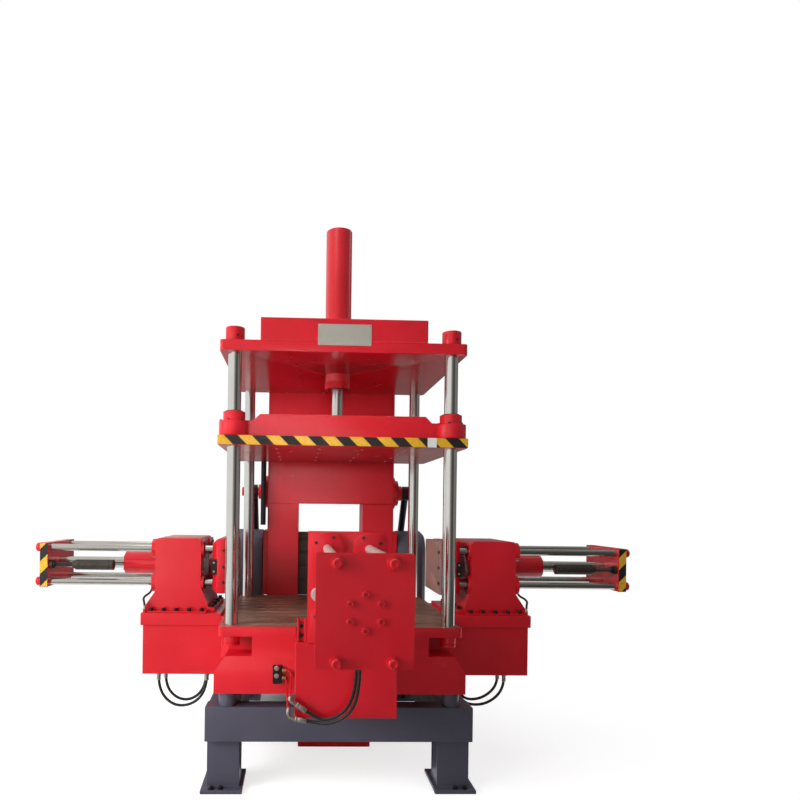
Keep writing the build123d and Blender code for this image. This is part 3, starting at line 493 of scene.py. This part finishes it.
for body, material, width, sources in (
        ("base", BASE_PAINT, 5, ("base_rails", "base_cross_beams")),
        ("base", BASE_PAINT, 3, ("legs",)),
        ("base", GREY_LUG, 4, ("left_bearing_lug", "right_bearing_lug")),
        ("base", BASE_PAINT, 3, ("rest_pads", "cylinder_brackets")),
        ("bed", RED, 5, ("bed_frame",)),
        ("bed", TABLE_STEEL, 1.5, ("table_plate",)),
        ("bed", RED, 4, ("top_plate", "top_ribs", "portal_head", "portal_legs")),
        ("bed", PORTAL_STEEL, 1.5, ("rear_mould_plate",)),
        ("bed", RED, 4, ("cylinder_pivots", "ejector_housing", "left_arm", "right_arm", "left_core_housing",
                         "right_core_housing")),
        ("bed", RED, 3, ("left_core_cylinder", "right_core_cylinder")),
        ("bed", RED, 5, ("front_bracket_box",)),
        ("bed", RED, 4, ("front_bracket_plate",)),
        ("bed", RED, 3, ("front_core_cylinder",)),
        ("bed", BLACK_STEEL, 3, ("port_block",)),
        ("bed", RED, 4, ("top_cylinder", "column_nuts")),
        ("bed", SIGN, 0.8, ("nameplate",)),
        ("platen", RED, 4, ("moving_platen", "platen_ribs", "platen_bushes")),
        ("left_core", RED, 4, ("left_tail_plate",)),
        ("right_core", RED, 4, ("right_tail_plate",)),
        ("left_core", COPPERY, 1.5, ("left_mould_plate",)),
        ("right_core", COPPERY, 1.5, ("right_mould_plate",)),
        ("front_core", RED, 3, ("front_plate",)),
        ("front_core", RED, 4, ("front_carrier",))):
    for source in sources:
        finished(source, width, material, body)


def carrier_corner(place):
    """True on the upper and lower outer corners of a side carrier."""
    return abs(abs(place.x) - 0.820) < 1e-4 and abs(abs(place.z - 1.3) - 0.178) < 1e-4


for side, s in SIDES:
    finished(side + "_carrier", 4, RED, side + "_core", carrier_corner, 30)

for source, material in (("columns", CHROMED), ("tilt_trunnions", BRIGHT), ("press_rod", CHROMED),
                         ("switch_rod", BLACK_STEEL), ("tilt_cylinder_rods", BLACK_STEEL),
                         ("tilt_cylinder_barrels", BLACK_STEEL), ("hydraulic_pipes", PIPE)):
    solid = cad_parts[source]
    solid.data.materials.clear()
    solid.data.materials.append(material)


# Rods and nuts of the side core pullers
SIDE_Y, SIDE_Z = 5.0, 1300.0
STOP_Y = -195
CARRIER_X, HOUSING_INNER_X, HOUSING_OUTER_X, TAIL_X = 746, 875, 1213, 1934
SIDE_RODS = [(SIDE_Y + i * 185, SIDE_Z + j * 111.5) for i in (-1, 1) for j in (-1, 1)]
for side, s in SIDES:
    body = side + "_core"
    bm = bmesh.new()
    for y, z in SIDE_RODS:
        rod(bm, at(s * 820, y, z), (s, 0, 0), 1114, 22.5)
    rod(bm, at(s * 1360, SIDE_Y, SIDE_Z), (s, 0, 0), 520, 37.5)
    piece(side + "_guide_rods", bm, body, BRIGHT, (side + "_rods",))

    bm = bmesh.new()
    dome = [(29 * math.cos(math.radians(a)), 27 + 16 * math.sin(math.radians(a))) for a in range(0, 91, 15)]
    for y, z in SIDE_RODS:
        turned(bm, [(0, 0), (28, 0), (29, 1.5)] + dome[:-1] + [(0, 43)], at(s * TAIL_X, y, z), (s, 0, 0), 28)
    piece(side + "_domed_nuts", bm, body, RED)

    bm = bmesh.new()
    thread = [(15 if i % 2 else 13.4, 24 + i * 3.0) for i in range(42)]
    head = [(0, 0), (27, 0), (28, 1), (28, 21), (27, 22), (13.4, 22)]
    barrel = [(13.4, 150), (26, 150), (26, 166), (33, 167), (34, 168), (34, 196), (32.5, 198), (32.5, 202),
              (34, 204), (34, 386), (32.5, 388), (32.5, 392), (34, 394), (34, 412), (32, 414), (18, 414), (16, 411),
              (0, 411)]
    turned(bm, head + thread + barrel, at(s * 1880, STOP_Y, SIDE_Z), (-s, 0, 0), 32)
    piece(side + "_stop_rod_turned", bm, body, STOP_STEEL, (side + "_stop_rod",))

    bm = bmesh.new()
    hex_part(bm, at(s * 1857.5, STOP_Y, SIDE_Z), (-s, 0, 0), 46, 14, 2)
    piece(side + "_stop_lock_nut", bm, body, BLACK_STEEL)

    # Screws on the carrier, collar round its hub
    screws(side + "_carrier_edge_screws", body, cap_screws, [at(s * CARRIER_X, -232.5, z) for z in (1195, 1296, 1404)],
           FORWARD, radius=9, height=4)
    screws(side + "_carrier_rear_screws", body, cap_screws, [at(s * CARRIER_X, 242.5, z) for z in (1195, 1296, 1404)],
           (0, 1, 0), radius=9, height=4)
    bm = bmesh.new()
    turned(bm, [(60, 0), (69, 0), (70, 1), (70, 19), (69, 20), (60, 20)], at(s * 821, SIDE_Y, SIDE_Z), (s, 0, 0), 40)
    for place in around(at(s * 841, SIDE_Y, SIDE_Z), "x", 66, 8, 22.5):
        hex_part(bm, place, (s, 0, 0), 10, 5, 0.8)
    piece(side + "_hub_collar", bm, body, RED)

    # Short slots in the front edge of the mould plate, as thin black plates: painted shade of the slot openings
    bm = bmesh.new()
    for z in (1198, 1302, 1406):
        plate(bm, (s * 679.4, s * 681), (-228, -165), (z - 10, z + 10), 0.3, 1)
    piece(side + "_mould_slot_shades", bm, body, BOLT_BLACK)

    # Stop block on the carrier
    bm = bmesh.new()
    plate(bm, (s * 790, s * 826), (-235, -186), (1246, 1344), 3)
    piece(side + "_carrier_stop_block", bm, body, BLACK_STEEL)
    screws(side + "_carrier_stop_screws", body, cap_screws, [at(s * 808, -235, z) for z in (1266, 1324)], FORWARD,
           PLATED, radius=7, height=2.5)

    # Flanges of the guide housing on the arm
    bm = bmesh.new()
    plate(bm, (s * 842, s * 1222), (-309, -243), (1008, 1016), 2.5)
    plate(bm, (s * 842, s * 1222), (253, 319), (1008, 1016), 2.5)
    plate(bm, (s * 798, s * 839), (-242, 252), (1008, 1032), 3)
    piece(side + "_housing_flanges", bm, "bed", RED)
    flange_places = [at(s * (1040 + i * 81.5), y, 1016) for i in range(-2, 3) for y in (-279, 289)]
    flange_places += [at(s * 818, y, 1032) for y in (-200, -66, 76, 210)]
    screws(side + "_housing_flange_screws", "bed", cap_screws, flange_places, UP, radius=14, height=18)
    bush_places = [place for y, z in SIDE_RODS for place in around(at(s * HOUSING_OUTER_X, y, z), "x", 45, 4, 45)]
    screws(side + "_outer_bush_screws", "bed", cap_screws, bush_places, (s, 0, 0), radius=7, height=5)
    bush_places = [place for y, z in SIDE_RODS for place in around(at(s * HOUSING_INNER_X, y, z), "x", 45, 4, 45)]
    screws(side + "_inner_bush_screws", "bed", cap_screws, bush_places, (-s, 0, 0), radius=7, height=5)
    bm = bmesh.new()
    for y, z in SIDE_RODS:
        for x, direction in ((HOUSING_OUTER_X, s), (HOUSING_INNER_X, -s)):
            turned(bm, [(22.8, 0), (31, 0), (31, 3), (29, 4), (22.8, 4), (22.8, 0)], at(s * x, y, z),
                   (direction, 0, 0), 32)
    piece(side + "_rod_wipers", bm, "bed", HOSE)

    # Screws in the head of the core cylinder
    screws(side + "_cylinder_head_screws", "bed", cap_screws, around(at(s * 1438, SIDE_Y, SIDE_Z), "x", 58, 8),
           (s, 0, 0), radius=8, height=8)

    # Ferrules on the arm hoses and on the short hose
    bm = bmesh.new()
    ferrule = [(9.2, -1), (14, 0), (14, 8), (12.6, 9), (12.6, 15), (13.4, 16), (13.4, 22), (12.6, 23), (12.6, 29),
               (13.4, 30), (13.4, 36), (12.2, 38), (9.2, 38)]
    for _, route in ARM_HOSES[side].values():
        for x, y, z in (route[0], route[-1]):
            turned(bm, ferrule, at(s * x, y, z), DOWN, 24)
            hex_part(bm, at(s * x, y, z + 7), DOWN, 30, 10, 1.2)
    small = [(7.2, -1), (10.5, 0), (10.5, 6), (9.4, 7), (9.4, 20), (8.8, 22), (7.2, 22)]
    turned(bm, small, at(s * 1226, -136, 1168), DOWN, 20)
    turned(bm, small, at(s * 1241, -284, 1028), UP, 20)
    piece(side + "_hose_ferrules", bm, "bed", PLATED)

    # Foot of the front bracket beside its upright plate
    bm = bmesh.new()
    plate(bm, (s * 248, s * 260), (-1086, -1016), (990, 1108), 3)
    plate(bm, (s * 207, s * 224), (-1086, -1016), (990, 1108), 3)
    plate(bm, (s * 222, s * 250), (-1070, -1020), (990, 1104), 2)
    piece(side + "_bracket_foot", bm, "bed", RED)
    screws(side + "_bracket_foot_screws", "bed", cap_screws, [at(s * 236, -1070, z) for z in (1024, 1074)], FORWARD,
           radius=10, height=12)


# Rods, nuts and screws of the front core puller
FRONT_Z = 1290.0
FRONT_ROD_Y, FRONT_PLATE_Y = -1920, -1960
FRONT_RODS = [(i * 108.5, FRONT_Z + j * 191) for i in (-1, 1) for j in (-1, 1)]
bm = bmesh.new()
for x, z in FRONT_RODS:
    rod(bm, at(x, FRONT_ROD_Y, z), (0, 1, 0), 960, 22.5)
rod(bm, at(0, FRONT_ROD_Y, FRONT_Z), (0, 1, 0), 460, 37.5)
piece("front_guide_rods", bm, "front_core", SATIN, ("front_rods",))
bm = bmesh.new()
for x, z in FRONT_RODS:
    turned(bm, [(0, 0), (26, 0), (26.5, 0.8), (26.5, 5), (25.5, 6), (19, 6), (20.4, 7.5), (20.4, 25), (17.5, 28.5),
                (12, 29.5), (10.5, 27.5), (0, 27.5)], at(x, FRONT_PLATE_Y, z), FORWARD, 32)
piece("front_nuts", bm, "front_core", RED)
bm = bmesh.new()
cap_screws(bm, around(at(2, FRONT_PLATE_Y, 1291), "y", 69, 6, 90), FORWARD, 14, 9, 20)
piece("front_plate_screws", bm, "front_core", RED)
bush_places = [place for x, z in FRONT_RODS for place in around(at(x, -1130, z), "y", 66, 4, 62 if x < 0 else 118)]
screws("front_bush_screws", "bed", cap_screws, bush_places, FORWARD, radius=8, height=3)
bm = bmesh.new()
turned(bm, [(0, 0), (35, 0), (36.5, 1.5), (36.5, 8), (34, 10), (0, 10)], at(-154, -1100, 1243), FORWARD, 36)
piece("bracket_cover_disc", bm, "bed", SATIN)
screws("front_cylinder_screws", "bed", cap_screws, around(at(0, -1550, FRONT_Z), "y", 56, 8, 22.5), FORWARD,
       radius=8, height=8)
bm = bmesh.new()
for x, y, z in ((40, -1262, 1190), (43, -1366, 1190)):
    turned(bm, [(9.2, -1), (14, 0), (14, 8), (12.6, 9), (12.6, 30), (13.4, 31), (13.4, 40), (12.2, 42), (9.2, 42)],
           at(x, y, z), DOWN, 24)
    hex_part(bm, at(x, y, z + 9), DOWN, 30, 10, 1.2)
piece("front_hose_ferrules", bm, "bed", PLATED)


# Ledge behind the table, and caps on the lower ends of the columns
bm = bmesh.new()
plate(bm, (-256, 256), (690, 730), (975, 989), 1.5)
piece("table_rear_ledge", bm, "bed", TABLE_STEEL)
bm = bmesh.new()
for x, y in COLUMNS:
    turned(bm, disc(49, 17, 2.5), at(x, y, 885), DOWN, 36)
piece("column_end_caps", bm, "bed", RED)


# Oil ports and the collars of the rigid pipes
bm = bmesh.new()
for z in (735, 692):
    hex_part(bm, at(-346, -675, z), (1, 0, 0), 24, 14, 1.5)
    turned(bm, [(0, 0), (9, 0), (9, 9), (8, 10), (0, 10)], at(-332, -675, z), (1, 0, 0), 24)
piece("port_fittings", bm, "bed", BRASS)
bm = bmesh.new()
for z in (753, 708):
    turned(bm, [(0, 0), (14, 0), (14.5, 0.6), (14.5, 5), (13.5, 6), (11, 6), (11, 15), (9.5, 17), (0, 17)],
           at(-375, -690, z), FORWARD, 28)
piece("port_couplings", bm, "bed", PLATED)
screws("port_block_screws", "bed", cap_screws, [at(x, -690, z) for x in (-389, -353) for z in (670, 758)],
       FORWARD, radius=5, height=3)
bm = bmesh.new()
for corner, end in (((-290, -1125, 700), (-208, -1125, 645)), ((-298, -1125, 610), (-206, -1125, 594))):
    run = (at(*corner) - at(*end)).normalized()
    turned(bm, [(9.2, 0), (12.8, 0.8), (13.8, 3), (13.8, 44), (12.8, 47), (9.2, 47)], at(*end), run, 28)
    hex_part(bm, at(*end) + run * 48 * MM, run, 28, 12, 1.5)
piece("front_ferrule_rings", bm, "bed", PLATED)


def elbow(name, route, radius):
    """Rigid bent tube at the start of a front hose."""
    tube(name, [at(*point) for point in route], radius, 10, PLATED)


elbow("front_elbow_upper", ((-290, -1092, 702), (-291, -1114, 712), (-292, -1127, 709), (-287, -1128, 695),
                            (-266, -1127, 683), (-236, -1125, 664), (-212, -1125, 648)), 10.5)
elbow("front_elbow_lower", ((-300, -1098, 652), (-299, -1116, 653), (-299, -1127, 650), (-299, -1128, 632),
                            (-291, -1127, 616), (-266, -1126, 605), (-214, -1125, 596)), 10.5)

# Screws and seals on the moving platen
bush_places = []
wiper = bmesh.new()
for x, y in COLUMNS:
    bush_places += around(at(x, y, 2200), "z", 78, 6, 10)
    turned(wiper, [(41, 0), (53, 0), (53, 4), (50, 6), (41, 6), (41, 0)], at(x, y, 2257), UP, 40)
screws("platen_bush_screws", "platen", cap_screws, bush_places, UP, radius=8, height=9)
piece("column_wipers", wiper, "platen", HOSE)
screws("press_foot_screws", "platen", cap_screws, around(at(0, 0, 2144), "z", 64, 8), UP, radius=9, height=10)
underside = [at(x, y, 2056) for x in (-400, -133, 133, 400) for y in (-450, -150, 150, 450)]
screws("platen_underside_plugs", "platen", cap_screws, underside, DOWN, PLATED, radius=8, height=1.5)

bm = bmesh.new()
for x in (-1, 1):
    for y in (-600, 600):
        plate(bm, (x * 552, x * 592), (y - 24, y + 24), (2114, 2206), 4)
piece("platen_rib_ends", bm, "platen", RED)

# Plugs, screws, spanner holes (black discs as painted shade) and welds of the top plate and its cylinder
under_top = [at(x, y, 2612) for x, y in ((-259, -330), (-258, -65), (-257, 170), (-256, 395), (98, -390),
                                         (254, -320), (258, 155), (256, 395), (257, -65))]
screws("top_plate_plugs", "bed", cap_screws, under_top, DOWN, radius=11, height=1.5)
screws("press_cylinder_screws", "bed", hex_screws, around(at(0, 0, 2715), "z", 115, 8, 22.5), UP, RED,
       across=24, height=13, washer=18)
screws("gland_screws", "bed", cap_screws, around(at(0, 0, 2512), "z", 66, 8, 22.5), DOWN, radius=8, height=6)
bm = bmesh.new()
turned(bm, [(84, 0), (87, 0), (88, 1), (88, 45), (87, 46), (84, 46)], at(0, 0, 2513), UP, 56)
piece("gland_ring", bm, "bed", RED)
# Spanner holes in the column nuts are thin black discs: painted shade of the holes.
spanner_hole_shades = [at(x + 0.35 * 57, y - 0.93 * 57, 2703) for x, y in COLUMNS if y < 0]
screws("column_nut_spanner_holes", "bed", cap_screws, spanner_hole_shades, (0.35, -0.93, 0), radius=7, height=1)
bm = bmesh.new()
for y in (-658, 688):
    for x in (-1, 1):
        rod(bm, at(x * 164, y, 2675), (x, 0, 0), 330, 4.5, 1.5, 16)
piece("top_rib_welds", bm, "bed", RED)

# Cheeks round the trunnions, beside the portal legs
bm = bmesh.new()
for x in (-1, 1):
    plate(bm, (x * 506, x * 540), (694, 1000), (990, 1506), 4)
piece("trunnion_cheeks", bm, "bed", RED)

# Rivets of the bare plate
bm = bmesh.new()
for x in (-149, 149):
    for z in (2660, 2767):
        turned(bm, [(0, 0), (4.2, 0), (4, 1.2), (2.6, 2.3), (0, 2.6)], at(x, -663, z), FORWARD, 14)
piece("plate_rivets", bm, "bed", PLATED)

# Anchor bolts in the feet, with a washer and a nut on each
bm = bmesh.new()
for x in (-690, 690):
    for y in (-380, 1180):
        turned(bm, [(12.2, 0), (23, 0), (23.5, 0.6), (23.5, 3.4), (23, 4), (12.2, 4)], at(x, y, 22), UP, 28)
        hex_part(bm, at(x, y, 26), UP, 36, 19, 2)
        turned(bm, [(0, 0), (12, 0), (12, 55), (10.5, 57), (0, 57)], at(x, y, 1), UP, 24)
piece("anchor_bolts", bm, "base", BOLT_BLACK)

# Levelling screws in the lips of the feet
lip_places = [at(s * x, y, 22) for s in (-1, 1) for x in (700, 754) for y in (-626, 1431)]
screws("levelling_screws", "base", hex_screws, lip_places, UP, across=24, height=13, washer=18)

# Rings on the upper pins of the tilt cylinders
bm = bmesh.new()
for s in (-1, 1):
    turned(bm, [(35, 0), (46, 0), (47, 1), (47, 7), (46, 8), (35, 8)], at(s * 650, 820, 1820), (s, 0, 0), 36)
piece("pivot_rings", bm, "bed", BLACK_STEEL)


# Hazard tape on the moving platen and on the tail plates

bm = bmesh.new()
plate(bm, (-739, 739), (-672, -670), (2058, 2112), 0.4, 1)
piece("platen_hazard_tape", bm, "platen", TAPE_DOWN)
bm = bmesh.new()
plate(bm, (497, 551), (-673, -672), (2057, 2113), 0.4, 1)
piece("platen_white_tape", bm, "platen", WHITE_TAPE)
for side, s in SIDES:
    bm = bmesh.new()
    plate(bm, (s * 1883, s * 1931), (-234.5, -232.5), (1160, 1440), 0.4, 1)
    piece(side + "_tail_hazard_tape", bm, side + "_core", TAPE_UP)


# Floor, light and surroundings

def staged(name, bm):
    """Makes a bmesh into a thing of the studio, which isn't part of the machine."""
    mesh = bpy.data.meshes.new(name)
    bm.to_mesh(mesh)
    bm.free()
    made = bpy.data.objects.new(name, mesh)
    bpy.context.scene.collection.objects.link(made)
    return made


# The floor is matt with a painted shade under the machine, a darker colour and less glow there, and fades to plain
# white further out.
FADE_START, FADE_END = 1.6, 3.2
SHADE_START, SHADE_END = 0.15, 1.25
SHADE_SCALE, SHADE_MOVE = (0.95, 1.75, 1.0), (0.0, -1.4, 0.0)
FLOOR_GLOW = 0.72

bm = bmesh.new()
bmesh.ops.create_grid(bm, x_segments=1, y_segments=1, size=30.0)
floor = staged("floor", bm)
floor_material, tree = new_material("pale_floor")
for old in list(tree.nodes):
    tree.nodes.remove(old)
fade = ranged(tree, length_of(tree, object_place(tree)), FADE_START, FADE_END, "SMOOTHSTEP")
from_middle = length_of(tree, object_place(tree, SHADE_SCALE, SHADE_MOVE))
# Painted shade: under the machine the floor's colour darkens and its glow fades out.
shade = ranged(tree, from_middle, SHADE_START, SHADE_END, "SMOOTHSTEP")
matt = tree.nodes.new("ShaderNodeBsdfDiffuse")
tree.links.new(ramp(tree, shade, (0.0, grey(0.1)), (0.3, grey(0.14)), (0.9, grey(0.55))), matt.inputs["Color"])
glow = tree.nodes.new("ShaderNodeEmission")
tree.links.new(computed(tree, "MULTIPLY", shade, FLOOR_GLOW), glow.inputs["Strength"])
lit = tree.nodes.new("ShaderNodeAddShader")
tree.links.new(matt.outputs["BSDF"], lit.inputs[0])
tree.links.new(glow.outputs["Emission"], lit.inputs[1])
white = tree.nodes.new("ShaderNodeEmission")
seen_floor = tree.nodes.new("ShaderNodeMixShader")
tree.links.new(fade, seen_floor.inputs["Fac"])
tree.links.new(lit.outputs["Shader"], seen_floor.inputs[1])
tree.links.new(white.outputs["Emission"], seen_floor.inputs[2])
by_ray = tree.nodes.new("ShaderNodeMixShader")
tree.links.new(direct_ray(tree), by_ray.inputs["Fac"])
tree.links.new(matt.outputs["BSDF"], by_ray.inputs[1])
tree.links.new(seen_floor.outputs["Shader"], by_ray.inputs[2])
surface = tree.nodes.new("ShaderNodeOutputMaterial")
tree.links.new(by_ray.outputs["Shader"], surface.inputs["Surface"])
floor.data.materials.append(floor_material)


# Ends of the cards' grey ramps along X, in metres
CARD_LEFT, CARD_RIGHT = -6.0, 12.0


def studio_cards(name, places, *stops):
    """Grey panels that only reflections meet; their warm grey runs from left to right in metres along X."""
    bm = bmesh.new()
    for middle, (degrees, axis), half in places:
        bmesh.ops.create_grid(bm, x_segments=1, y_segments=1, size=1.0, matrix=Matrix.Translation(middle)
                              @ Matrix.Rotation(math.radians(degrees), 4, axis)
                              @ Matrix.Diagonal((*half, 1.0, 1.0)))
    card = staged(name, bm)
    card.visible_camera = False
    card.visible_diffuse = False
    card.visible_shadow = False
    material, tree = new_material(name)
    shader = tree.nodes["Principled BSDF"]
    shader.inputs["Base Color"].default_value = (0.0, 0.0, 0.0, 1.0)
    shader.inputs["Specular IOR Level"].default_value = 0.0
    greys = [((x - CARD_LEFT) / (CARD_RIGHT - CARD_LEFT), (v, 0.97 * v, 0.92 * v)) for x, v in stops]
    across = ranged(tree, axes(tree)["X"], CARD_LEFT, CARD_RIGHT)
    tree.links.new(ramp(tree, across, *greys), shader.inputs["Emission Color"])
    shader.inputs["Emission Strength"].default_value = 1.0
    card.data.materials.append(material)


studio_cards("front_card", (((2.8, -9.0, 4.2), (90, "X"), (8.8, 4.6)),),
             (-5, 1.0), (-2.6, 1.0), (0.5, 0.3), (3.7, 0.09), (9, 0.09))
studio_cards("low_card", (((2.8, -5.0, 0.004), (0, "X"), (8.8, 4.0)),),
             (-5, 0.8), (-1.5, 0.42), (0.0, 0.2), (0.9, 0.08), (9, 0.05))
studio_cards("side_cards", (((11.6, -2.0, 4.2), (90, "Y"), (4.6, 7.0)), ((2.8, -3.0, 8.8), (0, "X"), (8.8, 6.0))),
             (-5, 1.0), (-1.5, 0.6), (1.5, 0.27), (9, 0.24))
# Dark card on the floor under the machine: painted shade, seen only in the reflections of the undersides.
studio_cards("under_machine_shade_card", (((0.0, 0.5, 0.004), (0, "X"), (1.3, 1.2)),), (-1.3, 0.16), (-0.5, 0.05), (1.3, 0.03))
studio_cards("rear_card", (((2.8, 5.0, 4.2), (90, "X"), (8.8, 4.2)),),
             (-6, 1.0), (-2.8, 0.85), (-0.8, 0.24), (8, 0.12))

world = bpy.data.worlds.new("studio")
bpy.context.scene.world = world
world.use_nodes = True
tree = world.node_tree
background = tree.nodes["Background"]
strength = tree.nodes.new("ShaderNodeMapRange")
strength.inputs["To Min"].default_value = 0.42
strength.inputs["To Max"].default_value = 1.0
tree.links.new(direct_ray(tree), strength.inputs["Value"])
background.inputs["Color"].default_value = (1.0, 1.0, 1.0, 1.0)
tree.links.new(strength.outputs["Result"], background.inputs["Strength"])


def lamp(name, place, target, size, power, mirrored=True, spread=180):
    """Soft lamp aimed at a point; its power is in watts and its spread in degrees."""
    data = bpy.data.lights.new(name, "AREA")
    data.shape = "RECTANGLE"
    data.size, data.size_y = size
    data.energy = power
    data.spread = math.radians(spread)
    made = bpy.data.objects.new(name, data)
    bpy.context.scene.collection.objects.link(made)
    made.location = place
    made.rotation_euler = (Vector(target) - Vector(place)).to_track_quat("-Z", "Y").to_euler()
    made.visible_camera = False
    made.visible_glossy = mirrored


lamp("key_lamp", (-4.6, -3.2, 2.9), (0.0, -0.9, 1.3), (2.2, 2.4), 246.0, mirrored=False)
lamp("low_lamp", (-2.1, -3.0, 1.1), (-0.5, -1.0, 0.6), (0.8, 0.6), 22.0, mirrored=False)
lamp("top_lamp", (-0.5, -0.5, 6.5), (0.0, -0.4, 1.0), (5.0, 4.0), 100.0)
lamp("head_lamp", (-0.4, -5.2, 2.2), (-0.1, 0.3, 2.14), (0.4, 0.3), 1.25, mirrored=False, spread=24)

bpy.context.scene.view_settings.view_transform = "Standard"
